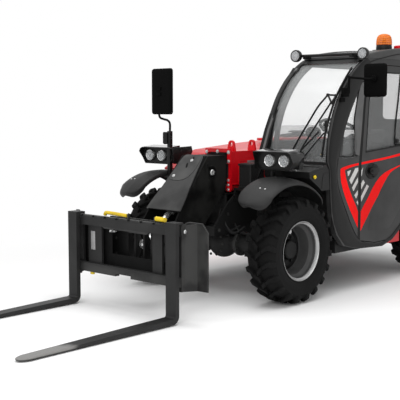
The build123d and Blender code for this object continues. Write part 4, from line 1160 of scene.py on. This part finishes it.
def screen_strip(part, y0, y1, back, front, first=-1, last=65):
    """A strip bent over the windscreen's curve between two distances from it."""
    arcs = zip(screen_arc(back, first, last), screen_arc(front, first, last))
    part.shell([[(xb, y0, zb), (xf, y0, zf), (xf, y1, zf), (xb, y1, zb)] for (xb, zb), (xf, zf) in arcs],
               capped=True)


screen_strip(seals, 0.7035, 0.7084, -0.012, 0.002)
screen_strip(seals, 0.166, 0.178, -0.01, 0.002)
seals.make("cab_seals", seal_rubber)
RIGHT_EDGE = [(-0.66, 1.688), (-0.606, 1.632), (-0.497, 1.514), (-0.441, 1.437), (-0.369, 1.322),
    (-0.31, 1.209), (-0.266, 1.097), (-0.243, 1.044)]
EDGE_DEEP = 0.045


def edge_strip(part, y0, y1, back):
    """A strip down the right pillar, set back from its front edge."""
    rings = []
    for (x, z), (far_x, far_z) in zip(RIGHT_EDGE, RIGHT_EDGE[1:] + [(-0.225, 0.99)]):
        out = Vector((far_z - z, far_x - x)).normalized() * -1
        rings.append([
            (x - out.x * k, y, z + out.y * k)
            for k, y in ((back + EDGE_DEEP, y0), (back, y0), (back, y1), (back + EDGE_DEEP, y1))])
    part.shell(rings, capped=True)


right_trim = Part()
edge_strip(right_trim, 0.1296, 0.156, 0)
edge_strip(right_trim, 0.177, 0.191, 0.003)
right_trim.make("right_pillar_edge", cab_black)
# a light grey strip between the black edges: painted highlight along the right pillar
right_pillar_highlight = Part()
edge_strip(right_pillar_highlight, 0.156, 0.177, 0.002)
right_pillar_highlight.make("right_pillar_painted_highlight", black_paint("pillar_highlight_grey", 96, rough=0.3))
lining = Part()
screen_strip(lining, 0.191, 0.228, -0.05, -0.034, first=2, last=63)
lining.make("right_pillar_lining", moulded_plastic("lining_grey", 48, rough=0.5))
rail = Part()
rail.block((-1.55, 0.15, 1.08), (-0.335, 0.169, 1.13), 0.003)
rail.make("right_window_rail", cab_black)

# ---- roof -------------------------------------------------------------------------------
# Arched roof moulding with a glass panel, a gutter line down its side and a red edge strip
# behind the beacon. Round lamps in black shells hang on a tube across its front.
roof_grey = black_paint("roof_grey", 66, rough=0.4, speckle=0.6)
dress("cab_roof", roof_grey)
gutter = Part()
GUTTER = [(-0.8, 1.705), (-0.862, 1.726), (-0.945, 1.745), (-1.045, 1.763), (-1.146, 1.781), (-1.264, 1.797),
    (-1.42, 1.806), (-1.6, 1.806)]
gutter.tube([(x, 0.7225, z) for x, z in GUTTER], 0.0038, sides=8, smooth=4)
gutter.make("roof_gutter_seal", seal_rubber)
roof_edge = Part()
roof_edge.press([(-1.275, 1.838), (-1.6, 1.846), (-1.6, 1.866), (-1.295, 1.869), (-1.275, 1.862)], "Y", 0.655,
    0.7, 0.004)
roof_edge.make("roof_red_edge", red_paint)

roof_bar = Part()
ROOF_LAMPS = [(-0.69, 0.153, 1.779, 1.27), (-0.716, 0.748, 1.776, 1.2)]
bar_ends = [Vector(p[:3]) for p in ROOF_LAMPS]
roof_bar.tube([bar_ends[0] + Vector((-0.004, 0, 0)), bar_ends[1] + Vector((-0.004, 0, 0))], 0.011, sides=20)
for y in (0.212, 0.64):
    roof_bar.block((-0.771, y - 0.014, 1.754), (-0.694, y + 0.014, 1.7785), 0.003)
roof_bar.block((-0.748, 0.7, 1.732), (-0.7, 0.716, 1.79), 0.003)
for x, y, z, grow in ROOF_LAMPS:
    roof_bar.turn([(radius * grow, depth) for radius, depth in ((0.03, 0.034), (0.0335, 0.036),
        (0.036, 0.034), (0.0372, 0.026), (0.0372, 0.01), (0.0345, 0.002), (0.033, -0.004), (0.02, -0.016),
        (0, -0.018), (0, 0.018), (0.028, 0.024))], (x, y, z), axis="X", steps=40)
    roof_bar.block((x - 0.012, y - 0.01, z + 0.026), (x + 0.012, y + 0.01, z + 0.041))
bar_piece = roof_bar.make("roof_bar", pod_black, sharp=40)
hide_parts("roof_light_bar")
roof_bowls = Part()
roof_lenses = Part()
for x, y, z, grow in ROOF_LAMPS:
    roof_bowls.turn([(radius * grow, depth) for radius, depth in ((0.0305, 0.03), (0.0265, 0.022),
        (0.015, 0.0195), (0, 0.019), (0, 0.0184), (0.0305, 0.024))], (x, y, z), axis="X", steps=32)
    for angle in (0, 60, 120):
        turn = radians(angle + 25)
        c, s = cos(turn) * 0.027 * grow, sin(turn) * 0.027 * grow
        roof_bowls.tube([(x + 0.0245, y - c, z - s), (x + 0.0245, y + c, z + s)], 0.0016, sides=6)
    roof_lenses.turn([(radius * grow, depth) for radius, depth in ((0, 0.0352), (0.02, 0.0348),
        (0.0305, 0.033), (0.0305, 0.0318), (0.02, 0.0336), (0, 0.034))], (x, y, z), axis="X", steps=32)
roof_bowls.make("roof_lamp_bowls", silver_paint("roof_reflector", tone=178, rough=0.3))
roof_lenses.make("roof_lamp_lenses", clear_lens, sharp=60)

# ---- beacon -----------------------------------------------------------------------------
# Amber ribbed dome over a lamp with a flat bulb holder. It stands on a black base with a
# seating ring, near the left edge of the roof.
BEACON_X, BEACON_Y = -1.2, 0.614
beacon_base = Part()
beacon_base.turn([(0, 1.826), (0.061, 1.826), (0.062, 1.832), (0.062, 1.85), (0.0615, 1.856), (0.06, 1.86),
    (0.06, 1.868), (0, 1.868)], (BEACON_X, BEACON_Y, 0), axis="Z", steps=48)
base_piece = beacon_base.make("beacon_base", cab_black)
core = Part()
core.turn([(0, 1.868), (0.03, 1.868), (0.03, 1.876), (0.014, 1.88), (0.013, 1.915), (0.008, 1.922),
    (0, 1.923)], (BEACON_X, BEACON_Y, 0), axis="Z", steps=32)
core.block((BEACON_X - 0.022, BEACON_Y - 0.004, 1.88), (BEACON_X + 0.022, BEACON_Y + 0.004, 1.926), 0.001)
core.make("beacon_lamp", silver_paint("beacon_core", tone=150, rough=0.35))
dome = Part()
DOME_PROFILE = [(0.06, 1.8685), (0.0602, 1.88), (0.0594, 1.9), (0.057, 1.918), (0.051, 1.935), (0.039, 1.948),
    (0.021, 1.9545), (0.007, 1.9562)]
DOME_RIBS = 30
rings = []
for radius, z in DOME_PROFILE:
    ring = []
    for k in range(DOME_RIBS * 4):
        angle = tau * k / (DOME_RIBS * 4)
        swell = radius * (1 + 0.022 * cos(DOME_RIBS * angle))
        ring.append((BEACON_X + swell * cos(angle), BEACON_Y + swell * sin(angle), z))
    rings.append(ring)
dome.shell(rings, capped=True)


def amber_dome(name):
    """Translucent amber plastic, brighter at its rim and banded by its mouldings."""
    material, wire = new_material(name)
    bands, cloud = wire.bands("Z", 22, 1.5), wire.noise(30, 3)
    colour = (bands * 0.5 + cloud * 0.5).shades((0.25, srgb(176, 74, 8)), (0.6, srgb(244, 128, 16)))
    return skin(material, colour, 0.14 + cloud * 0.1, bands.relief(0.3, 0.002),
                Alpha=0.78 + wire.rim(0.4) * 0.2, Specular_IOR_Level=0.15)


dome.make("beacon_dome", amber_dome("amber_plastic"), sharp=70)
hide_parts("beacon")

# ---- glass ------------------------------------------------------------------------------
# Safety glass under a pale veil that is painted reflection of the bright surroundings, with a
# faint film of dust in it; clear in front and at the sides, tinted in the door and in the low
# pane beside the boom.
def cab_glass(name, veil=0.15, tone=1):
    material, wire = new_material(name)
    # the pale colour, and the opacity that grows at grazing angles, paint the glass's reflection; the noise
    # varies it like dust
    film, smear = wire.noise(2.4, 5), wire.noise(30, 3)
    colour = film.shades((0.3, srgb(226 * tone, 230 * tone, 230 * tone)),
                         (0.7, srgb(240 * tone, 242 * tone, 242 * tone)))
    return skin(material, colour, 0.02 + smear * 0.03,
                Alpha=veil + film.between(0.35, 0.75) * 0.02 + wire.rim(0.2) * 0.1)


windscreen_glass = cab_glass("windscreen_glass", 0.1)
side_glass = cab_glass("side_glass", 0.1)
dress("windshield", windscreen_glass)
dress("cab_windows", side_glass)
dress("door_glass", cab_glass("door_glass_tint", 0.25, 0.62))
lower_pane = Part()
lower_pane.block((-1.55, 0.1505, 1.131), (-0.345, 0.1545, 1.242), 0.001)
lower_pane.make("right_lower_pane", cab_glass("tinted_glass", 0.18, 0.4))

# ---- wiper ------------------------------------------------------------------------------
# One big pantograph wiper: two thin arms and two short links from the cowl to a bracket on
# the blade's back, and the rubber blade bowed over the glass.
wiper = Part()
ARMS = [(0.007, (-0.279, 0.432, 1.03), (-0.279, 0.432, 1.078), (-0.316, 0.533, 1.262), (-0.365, 0.585, 1.382),
    (-0.397, 0.619, 1.44), (-0.417, 0.635, 1.47)), (0.0065, (-0.278, 0.505, 1.03), (-0.278, 0.505, 1.073),
    (-0.309, 0.601, 1.237), (-0.378, 0.685, 1.407)), (0.0055, (-0.278, 0.51, 1.073), (-0.286, 0.575, 1.136),
    (-0.3, 0.643, 1.206)), (0.0055, (-0.275, 0.526, 0.99), (-0.275, 0.526, 1.012), (-0.281, 0.606, 1.101),
    (-0.298, 0.689, 1.196))]
for radius, *points in ARMS:
    wiper.tube(points, radius, sides=10, smooth=8)
BRACKET = [(-0.417, 0.635, 1.47), (-0.414, 0.709, 1.465), (-0.38, 0.693, 1.41)]
for a, b in zip(BRACKET, BRACKET[1:] + BRACKET[:1]):
    wiper.tube([a, b], 0.007, sides=10)
for place in BRACKET:
    wiper.turn([(0, -0.008), (0.01, -0.008), (0.011, 0), (0.01, 0.008), (0, 0.008)], place, axis="X",
        steps=20)
for y in (0.432, 0.505):
    wiper.turn([(0, 0), (0.02, 0), (0.019, 0.012), (0.01, 0.018), (0, 0.018)], (-0.288, y, 1.036), axis="X",
        steps=28)
    wiper.tube([(-0.305, y, 1.01), (-0.282, y, 1.036)], 0.01)
BLADE = [(-0.291, 0.679, 1.024), (-0.298, 0.685, 1.11), (-0.32, 0.69, 1.217), (-0.357, 0.697, 1.324),
    (-0.411, 0.701, 1.432), (-0.46, 0.703, 1.504), (-0.561, 0.703, 1.615), (-0.63, 0.697, 1.672)]
wiper.tube([(x + 0.004, y, z) for x, y, z in BLADE], 0.0055, sides=10, smooth=8)
wiper.tube([(x - 0.006, y - 0.002, z - 0.004) for x, y, z in BLADE], 0.0036, sides=8, smooth=8, flat=2.2)
wiper.make("wiper", seal_rubber)
clip = Part()
clip.turn([(0, 0), (0.017, 0), (0.018, 0.006), (0.014, 0.014), (0, 0.016)], (-0.326, 0.692, 1.252), axis="X",
    steps=28)
clip.block((-0.33, 0.682, 1.206), (-0.312, 0.702, 1.286), 0.005)
clip.make("wiper_clip", cab_black)

# ---- door -------------------------------------------------------------------------------
# Grey door skin with a shallow pressed panel, an oval handle dish with a paddle, a black
# seal, a sliding pane's frame, and red and white decals that run on over the pillar.
dress("door_panel", cab_grey)
door_seal = Part()
outline = [(x - 0.003, z) for x, z in SPLIT_EDGE] + [(x - 0.01, z) for x, z in SPLIT_EDGE[::-1]]
door_seal.press(outline, "Y", CAB_FACE - 0.004, CAB_FACE + 0.0012, 0.0008)
DOOR_GLASS = [(-0.8, 1.04), (-1.42, 1.085), (-1.42, 1.65), (-0.88, 1.65), (-0.83, 1.43)]
middle = Vector((-1.13, 1.36))
glazing = []
for x, z in DOOR_GLASS:
    inward = (middle - Vector((x, z))).normalized() * 0.004
    glazing.append((x + inward.x, CAB_FACE - 0.003, z + inward.y))
for a, b in zip(glazing, glazing[1:] + glazing[:1]):
    door_seal.tube([a, b], 0.006, sides=8)
door_seal.make("door_seals", seal_rubber, "door")

slider = Part()
SLIDER = [(-1.305, 1.64), (-1.278, 1.44), (-1.25, 1.282), (-1.236, 1.124), (-1.246, 1.094), (-1.29, 1.088),
    (-1.41, 1.098)]
slider.tube([(x, 0.704, z) for x, z in SLIDER], 0.0075, sides=10, smooth=5, flat=0.8)
slider.block((-1.292, 0.702, 1.098), (-1.25, 0.711, 1.134), 0.003)
slider.turn([(0, 0), (0.006, 0), (0.0055, 0.006), (0, 0.007)], (-1.262, 0.711, 1.116), steps=20)
slider.press([(-0.879, 1.33), (-0.897, 1.413), (-0.912, 1.413), (-0.894, 1.33)], "Y", 0.672, 0.69, 0.003)
slider.make("sliding_pane_frame", cab_black, "door")

press_outer = [(-1.04, 0.752), (-0.87, 0.56), (-0.852, 0.44), (-1.14, 0.432), (-1.19, 0.462), (-1.322, 0.585),
    (-1.396, 0.7), (-1.418, 0.85), (-1.23, 0.872), (-1.13, 0.836)]
press_inner = [(-1.072, 0.742), (-0.915, 0.562), (-0.902, 0.49), (-1.118, 0.486), (-1.152, 0.51),
    (-1.3, 0.64), (-1.362, 0.722), (-1.384, 0.834), (-1.238, 0.846), (-1.16, 0.812)]
pressing = Part()
pressing.shell([[(x, CAB_FACE + lift, z) for x, z in outline]
                for lift, outline in ((0.0002, press_outer), (0.0065, press_inner))], capped=True)
pressing.make("door_pressing", cab_grey, "door", bevel=0.0015)

dish = Part()
HANDLE_X, HANDLE_Z = -0.887, 0.896
OVAL = 1.42


def oval(radius, y):
    """A ring of the handle dish, longer than it is high."""
    middle = Vector((HANDLE_X, y, HANDLE_Z))
    return circle(middle, Vector((OVAL, 0, 0)), Vector((0, 0, 1)), radius, 48)


dish.shell([oval(*ring) for ring in ((0.062, 0.7203), (0.058, 0.7262), (0.05, 0.7262), (0.045, 0.7222),
                                     (0, 0.7225))])
dish.turn([(0, 0), (0.0475, 0), (0.0475, 0.004), (0, 0.0048)], (-0.925, CAB_FACE + 0.0028, 0.9), steps=40)
paddle = [(-0.84, 0.884), (-0.858, 0.874), (-0.93, 0.872), (-0.966, 0.884), (-0.97, 0.9), (-0.964, 0.916),
    (-0.93, 0.926), (-0.858, 0.922), (-0.84, 0.912)]
dish.press(paddle, "Y", 0.7262, 0.7425, 0.004, rounds=3)
dish.make("door_handle", cab_black, "door", sharp=30)
wells = Part()
for hand in (1, -1):
    well = [(-0.885, HANDLE_Z + hand * 0.028)]
    for k in range(9):
        angle = radians(90 * k / 8)
        well.append((-0.885 + 0.058 * sin(angle), HANDLE_Z + hand * (0.028 + 0.022 * cos(angle))))
    wells.press(well, "Y", 0.7268, 0.7278, 0.0003)
wells.make("handle_shadow_pads", seal_rubber, "door")
lock = Part()
lock.turn([(0, 0), (0.011, 0), (0.011, 0.003), (0.009, 0.005), (0, 0.005)], (-0.866, 0.7425, 0.899), steps=28)
lock.block((-0.87, 0.7474, 0.8975), (-0.862, 0.7481, 0.9005), 0.0002)
lock.turn([(0, 0), (0.0055, 0), (0.005, 0.003), (0, 0.0035)], (-1.452, CAB_FACE, 0.93), steps=20)
lock.make("door_lock", seal_rubber, "door")

# decals: a thin line, a broad V and slanting bars, cut at the gap ahead of the door
decal_red = gloss_paint("decal_red", 255, 8, 10, rough=0.5, coat=0, shine=0.12)
decal_white = gloss_paint("decal_white", 208, 208, 206, rough=0.5, coat=0, shine=0.2)
DECAL = (CAB_FACE + 0.0002, CAB_FACE + 0.0009)
pillar_decal = Part()
pillar_decal.press([(-0.466, 0.929), (-0.468, 0.887), (-0.478, 0.835), (-0.503, 0.775), (-0.544, 0.703),
    (-0.599, 0.619), (-0.654, 0.545), (-0.697, 0.488), (-0.706, 0.475), (-0.706, 0.596), (-0.679, 0.643),
    (-0.623, 0.717), (-0.574, 0.792), (-0.54, 0.861), (-0.525, 0.906), (-0.525, 0.921), (-0.59, 0.935),
    (-0.656, 0.944), (-0.706, 0.948), (-0.706, 0.965), (-0.642, 0.96), (-0.563, 0.952), (-0.498, 0.941),
    (-0.476, 0.935)], "Y", *DECAL)
pillar_decal.make("pillar_decal_red", decal_red)
pillar_bars = Part()
for bar in ([(-0.555, 0.908), (-0.604, 0.917), (-0.578, 0.878), (-0.565, 0.874)],
        [(-0.661, 0.927), (-0.699, 0.93), (-0.7, 0.907), (-0.611, 0.81), (-0.585, 0.841)],
        [(-0.696, 0.858), (-0.7, 0.822), (-0.641, 0.756), (-0.621, 0.784)],
        [(-0.699, 0.76), (-0.7, 0.728), (-0.677, 0.699), (-0.654, 0.726)],
        [(-0.695, 0.684), (-0.706, 0.668), (-0.706, 0.646), (-0.686, 0.668)]):
    pillar_bars.press(bar, "Y", *DECAL)
pillar_bars.make("pillar_decal_bars", decal_white)
door_decal = Part()
door_decal.press([(-0.744, 0.968), (-0.86, 0.978), (-1.001, 0.989), (-1.147, 1.001), (-1.296, 1.018),
    (-1.46, 1.036), (-1.46, 1.015), (-1.297, 0.998), (-1.147, 0.984), (-1.002, 0.971), (-0.86, 0.96),
    (-0.744, 0.951)], "Y", *DECAL)
door_decal.press([(-0.745, 0.596), (-0.788, 0.642), (-0.842, 0.694), (-0.895, 0.755), (-0.95, 0.808),
    (-1.006, 0.846), (-1.078, 0.876), (-1.151, 0.894), (-1.225, 0.909), (-1.3, 0.925), (-1.38, 0.936),
    (-1.38, 0.93), (-1.301, 0.916), (-1.211, 0.892), (-1.152, 0.868), (-1.109, 0.834), (-1.066, 0.794),
    (-1.017, 0.742), (-0.983, 0.699), (-0.928, 0.647), (-0.873, 0.589), (-0.833, 0.543), (-0.792, 0.5),
    (-0.763, 0.468), (-0.745, 0.448)], "Y", *DECAL)
door_decal.make("door_decal_red", decal_red, "door")
door_bars = Part()
for bar in ([(-0.744, 0.905), (-0.765, 0.931), (-0.75, 0.869), (-0.744, 0.862)],
        [(-0.744, 0.808), (-0.77, 0.836), (-0.793, 0.813), (-0.745, 0.763)],
        [(-0.821, 0.796), (-0.852, 0.782), (-0.748, 0.67), (-0.744, 0.712)]):
    door_bars.press(bar, "Y", *DECAL)
door_bars.make("door_decal_bars", decal_white, "door")

# ---- seat -------------------------------------------------------------------------------
# Suspension seat: a stuffed cushion and back in black cloth with piped edges, on a steel
# pan over rubber bellows. The two pads swell under the pressure of their filling.
def woven_cloth(name, tone):
    material, wire = new_material(name)
    warp, weft = wire.bands("DIAGONAL", 190, 0.6, 1), wire.bands("Y", 210, 0.6, 1)
    worn = wire.noise(7, 5)
    low = srgb(tone * 0.8, tone * 0.8, tone * 0.84)
    colour = (warp * 0.3 + weft * 0.3 + worn * 0.4).shades((0.3, low), (0.75, grey(tone * 1.25)))
    return skin(material, colour, 0.82 + worn * 0.1, (warp * 0.5 + weft * 0.5).relief(0.5, 0.0008),
                Sheen_Weight=0.25, Specular_IOR_Level=0.2)


seat_cloth = woven_cloth("seat_cloth", 44)
piping = moulded_plastic("seat_piping", 30, rough=0.4)
PAD_VOXEL = 0.008
PAD_SWELL = 0.024
PAD_PRESSURE = 4
PAD_STEPS = 20
PAD_CORNER = 0.06


def stuffed_pad(name, half_x, half_y, half_z, place, lean):
    """A rounded pad that is remeshed evenly and swelled by its filling."""
    part = Part()
    rings = []
    for share, inset in ((-1, 0.026), (-0.75, 0.007), (-0.3, 0), (0.3, 0), (0.75, 0.007), (1, 0.026)):
        ring = rounded(-half_x + inset, half_x - inset, -half_y + inset, half_y - inset, PAD_CORNER)
        rings.append([(x, y, half_z * share) for x, y in ring])
    part.shell(rings, capped=True)
    stand = Matrix.Translation(place) @ Matrix.Rotation(lean, 4, "Y")
    part.mesh.transform(stand)
    pad = part.make(name, seat_cloth)
    even = pad.modifiers.new("even faces", "REMESH")
    even.mode = "VOXEL"
    even.voxel_size = PAD_VOXEL
    view = bpy.context.evaluated_depsgraph_get()
    pad.data = bpy.data.meshes.new_from_object(pad.evaluated_get(view))
    pad.modifiers.clear()
    filling = pad.modifiers.new("filling", "CLOTH")
    filling.settings.use_pressure = True
    filling.settings.uniform_pressure_force = PAD_PRESSURE
    filling.settings.effector_weights.gravity = 0
    for step in range(1, PAD_STEPS + 1):
        bpy.context.scene.frame_set(step)
    view = bpy.context.evaluated_depsgraph_get()
    swelled = bpy.data.meshes.new_from_object(pad.evaluated_get(view))
    for before, after in zip(pad.data.vertices, swelled.vertices):
        shift = after.co - before.co
        if shift.length > PAD_SWELL:
            shift = shift * (PAD_SWELL / shift.length)
        before.co += shift
    pad.modifiers.clear()
    bpy.context.scene.frame_set(1)
    smoother = pad.modifiers.new("finer faces", "SUBSURF")
    smoother.levels = smoother.render_levels = 1
    pad.data.polygons.foreach_set("use_smooth", [True] * len(pad.data.polygons))
    # piping round both rims and two sewn channels across the face, laid on the swelled cloth
    trim = Part()
    lines = []
    for level in (-0.72, 0.72):
        ring = rounded(-half_x - 0.02, half_x + 0.02, -half_y - 0.02, half_y + 0.02, PAD_CORNER + 0.02, 8)
        lines.append([(x, y, half_z * level) for x, y in ring + ring[:1]])
    for along in (-0.22, 0.22):
        lines.append([(half_x * along * 2, half_y * t / 8, half_z + 0.02) for t in range(-7, 8)])
    for line in lines:
        laid = [pad.closest_point_on_mesh(HERE + stand @ Vector(point))[1] - HERE for point in line]
        trim.tube(laid, 0.0032, sides=8, smooth=2)
    trim.make(f"{name}_piping", piping)
    return pad


cushion = stuffed_pad("seat_cushion", 0.195, 0.18, 0.03, (-1.12, 0.435, 0.672), 0)
stuffed_pad("seat_back", 0.255, 0.18, 0.026, (-1.33, 0.435, 0.975), radians(82))
seat_pan = Part()
seat_pan.block((-1.33, 0.262, 0.612), (-0.93, 0.608, 0.64), 0.01, rounds=3)
seat_pan.block((-1.318, 0.292, 0.428), (-1.002, 0.578, 0.448), 0.006)
for y in (0.3, 0.546):
    seat_pan.press([(-1.33, 0.612), (-1.27, 0.612), (-1.33, 0.72), (-1.368, 1.18), (-1.392, 1.18),
        (-1.362, 0.7)], "Y", y, y + 0.024, 0.004)
seat_pan.tube([(-1, 0.592, 0.6), (-0.96, 0.6, 0.585), (-0.905, 0.6, 0.59)], 0.007, sides=10, smooth=4)
seat_pan.make("seat_pan", cab_black)
bellows = Part()
BELLOWS_FOLDS = 6
BELLOWS_LOW, BELLOWS_TOP = 0.448, 0.612
rings = []
for k in range(BELLOWS_FOLDS * 2 + 1):
    inset = 0 if k % 2 else 0.016
    z = BELLOWS_LOW + (BELLOWS_TOP - BELLOWS_LOW) * k / (BELLOWS_FOLDS * 2)
    ring = rounded(-1.3 + inset, -1.01 - inset, 0.3 + inset, 0.57 - inset, 0.035)
    rings.append([(x, y, z) for x, y in ring])
bellows.shell(rings, capped=True)
bellows.make("seat_bellows", seal_rubber, sharp=60, bevel=0.0015)
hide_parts("seat")

# ---- dashboard and controls -------------------------------------------------------------
# Black moulded dash with an instrument pod, column stalk, pedals, and a console with the
# joystick at the driver's right hand.
dash_plastic = moulded_plastic("dash_plastic", 34, rough=0.5, relief=0.35)
dress("dashboard", dash_plastic)
dress("steering_wheel", moulded_plastic("steering_wheel_black", 14, rough=0.6, relief=0.3, shine=0.06))
pod = Part()
pod.press([(0.285, 1.168), (0.292, 1.205), (0.312, 1.226), (0.345, 1.235), (0.378, 1.228), (0.398, 1.206),
    (0.404, 1.168), (0.38, 1.152), (0.308, 1.152)], "X", -0.672, -0.612, 0.01, rounds=3)
pod.tube([(-0.65, 0.35, 0.96), (-0.652, 0.35, 1.06), (-0.645, 0.35, 1.17)], 0.024, sides=16, smooth=4)
pod.block((-0.56, 0.19, 0.978), (-0.4, 0.33, 1.012), 0.01, rounds=3)
pod.block((-0.56, 0.52, 0.978), (-0.4, 0.655, 1.008), 0.01, rounds=3)
pod.press([(-1.42, 0.64), (-0.9, 0.64), (-0.88, 0.7), (-0.905, 0.8), (-0.985, 0.822), (-1.42, 0.8)], "Y",
    0.174, 0.222, 0.012, rounds=3)
pod.tube([(-0.742, 0.44, 1.045), (-0.748, 0.51, 1.075), (-0.752, 0.58, 1.11)], 0.007, sides=10, smooth=4)
pod.turn([(0, -0.012), (0.009, -0.01), (0.01, 0.01), (0, 0.012)], (-0.752, 0.582, 1.111), steps=16)
pod.make("instrument_pod", dash_plastic)
dials = Part()
for y in (0.318, 0.372):
    dials.turn([(0, -0.6735), (0.02, -0.6735), (0.021, -0.6755), (0.018, -0.676), (0, -0.6745)],
        (0, y, 1.192), axis="X", steps=28)
dials.make("dial_rims", bright_zinc)
stick = Part()
stick.turn([(0.034, 0.815), (0.03, 0.826), (0.022, 0.834), (0.025, 0.842), (0.016, 0.852), (0.019, 0.86),
    (0.009, 0.868), (0.008, 0.9), (0.016, 0.915), (0.02, 0.95), (0.018, 0.985), (0.01, 1), (0, 1.002),
    (0, 0.815)], (-0.955, 0.198, 0), axis="Z", steps=28)
stick.make("joystick", seal_rubber)
button = Part()
button.turn([(0, 1.001), (0.007, 1.001), (0.007, 1.005), (0, 1.006)], (-0.957, 0.198, 0), axis="Z", steps=20)
button.make("joystick_button", lever_yellow)
pedals = Part()
for y in (0.33, 0.48, 0.56):
    pedals.press(oblong(y - 0.035, y + 0.035, 0.47, 0.585), "X", -0.64, -0.63, 0.004)
    for k in range(5):
        z = 0.488 + 0.02 * k
        pedals.block((-0.643, y - 0.028, z), (-0.64, y + 0.028, z + 0.008), 0.001)
    pedals.tube([(-0.63, y, 0.56), (-0.6, y, 0.66), (-0.545, y, 0.74)], 0.008, sides=10, smooth=4)
pedals.make("pedals", cab_black)
MAT_RIBS = 12
mat = Part()
mat.block((-1.35, 0.18, 0.4285), (-0.56, 0.66, 0.434))
for k in range(MAT_RIBS):
    x = -0.98 + 0.032 * k
    mat.block((x, 0.25, 0.434), (x + 0.012, 0.63, 0.437), 0.001)
mat.make("floor_mat", seal_rubber)
wheel_cap = Part()
WHEEL_HUB = Vector((-0.87, 0.43, 1.21))
WHEEL_TILT = radians(-30)
wheel_cap.turn([(0, 0), (0.033, 0), (0.034, 0.004), (0.028, 0.012), (0, 0.016)], (0, 0, 0.022), axis="Z",
    steps=32)
wheel_cap.turn([(0, 0), (0.01, 0), (0.012, 0.012), (0.018, 0.02), (0.02, 0.034), (0.014, 0.044), (0, 0.046)],
    (0, -0.152, 0.012), axis="Z", steps=28)
wheel_cap.mesh.transform(Matrix.Translation(WHEEL_HUB) @ Matrix.Rotation(WHEEL_TILT, 4, "Y"))
wheel_cap.make("steering_knob", cab_black, "steering_wheel")

# ---- engine hood and rear ---------------------------------------------------------------
# Red pressed hood over the engine with black trim, a latch and a white stripe; below it the
# tray, and at the back the cast counterweight with its lamp clusters.
dress("engine_hood", red_paint)
dress("engine_tray", chassis_black)
dress("engine", black_paint("engine_grey", 52, rough=0.55))
dress("counterweight", black_paint("casting_black", 34, rough=0.55, speckle=2.2, wear=0.3))
hood_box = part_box("engine_hood")
HOOD_OUT = hood_box[0].y - HERE.y
grille = Part()
for z in (0.545, 0.762):
    grille.press(oblong(-1.33, -0.63, z, z + 0.015), "Y", HOOD_OUT - 0.003, HOOD_OUT - 0.0002, 0.001)
grille.turn([(0, 0), (0.03, 0), (0.031, 0.004), (0.024, 0.006), (0, 0.006)], (-0.56, HOOD_OUT - 0.0062, 0.7),
    steps=32)
grille.press(oblong(-0.576, -0.544, 0.692, 0.708), "Y", HOOD_OUT - 0.01, HOOD_OUT - 0.006, 0.002)
grille.make("hood_trim", pod_black, "hood")
hood_stripe = Part()
hood_stripe.press([(-1.64, 0.905), (-0.42, 0.905), (-0.38, 0.925), (-1.64, 0.925)], "Y", HOOD_OUT - 0.0009,
    HOOD_OUT - 0.0002)
hood_stripe.make("hood_stripe", decal_white, "hood")

lamps_rear = Part()
lens_red = gloss_paint("tail_lens_red", 150, 10, 14, rough=0.15, coat=0.8)
lens_amber = gloss_paint("tail_lens_amber", 214, 110, 20, rough=0.15, coat=0.8)
weight_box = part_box("counterweight")
REAR_X = weight_box[0].x - HERE.x
for hand in (1, -1):
    lamps_rear.finish = 0
    lamps_rear.block((REAR_X + 0.004, hand * 0.52, 0.838), (REAR_X + 0.034, hand * 0.672, 0.886), 0.005)
    for finish, inner, outer in ((1, 0.526, 0.596), (2, 0.6, 0.666)):
        lamps_rear.finish = finish
        lamps_rear.block((REAR_X + 0.0005, hand * inner, 0.843), (REAR_X + 0.007, hand * outer, 0.881), 0.004,
                         rounds=3)
lamps_rear.make("tail_lamps", [pod_black, lens_red, lens_amber])

# raised panel on the hood, and the air intake's moulded hump with its rain cap
hood_top = hood_box[1].z
raised = Part()
raised.press([(-1.6, -0.5), (-0.96, -0.48), (-0.94, -0.44), (-0.94, -0.22), (-1.6, -0.2)], "Z",
    hood_top - 0.004, hood_top + 0.016, 0.006, rounds=3)
raised.make("hood_raised_panel", red_paint, "hood")
intake = Part()
hump = [(-1.63, 1.1), (-1.26, 1.1), (-1.275, 1.116), (-1.396, 1.146), (-1.56, 1.156), (-1.63, 1.146)]
intake.press(hump, "Y", -0.56, -0.43, 0.008, rounds=3)
intake.turn([(0, 1.15), (0.045, 1.15), (0.045, 1.16), (0.082, 1.162), (0.078, 1.172), (0.05, 1.178),
    (0, 1.178)], (-1.56, -0.5, 0), axis="Z", steps=36)
intake.make("air_intake", cab_black, "hood")
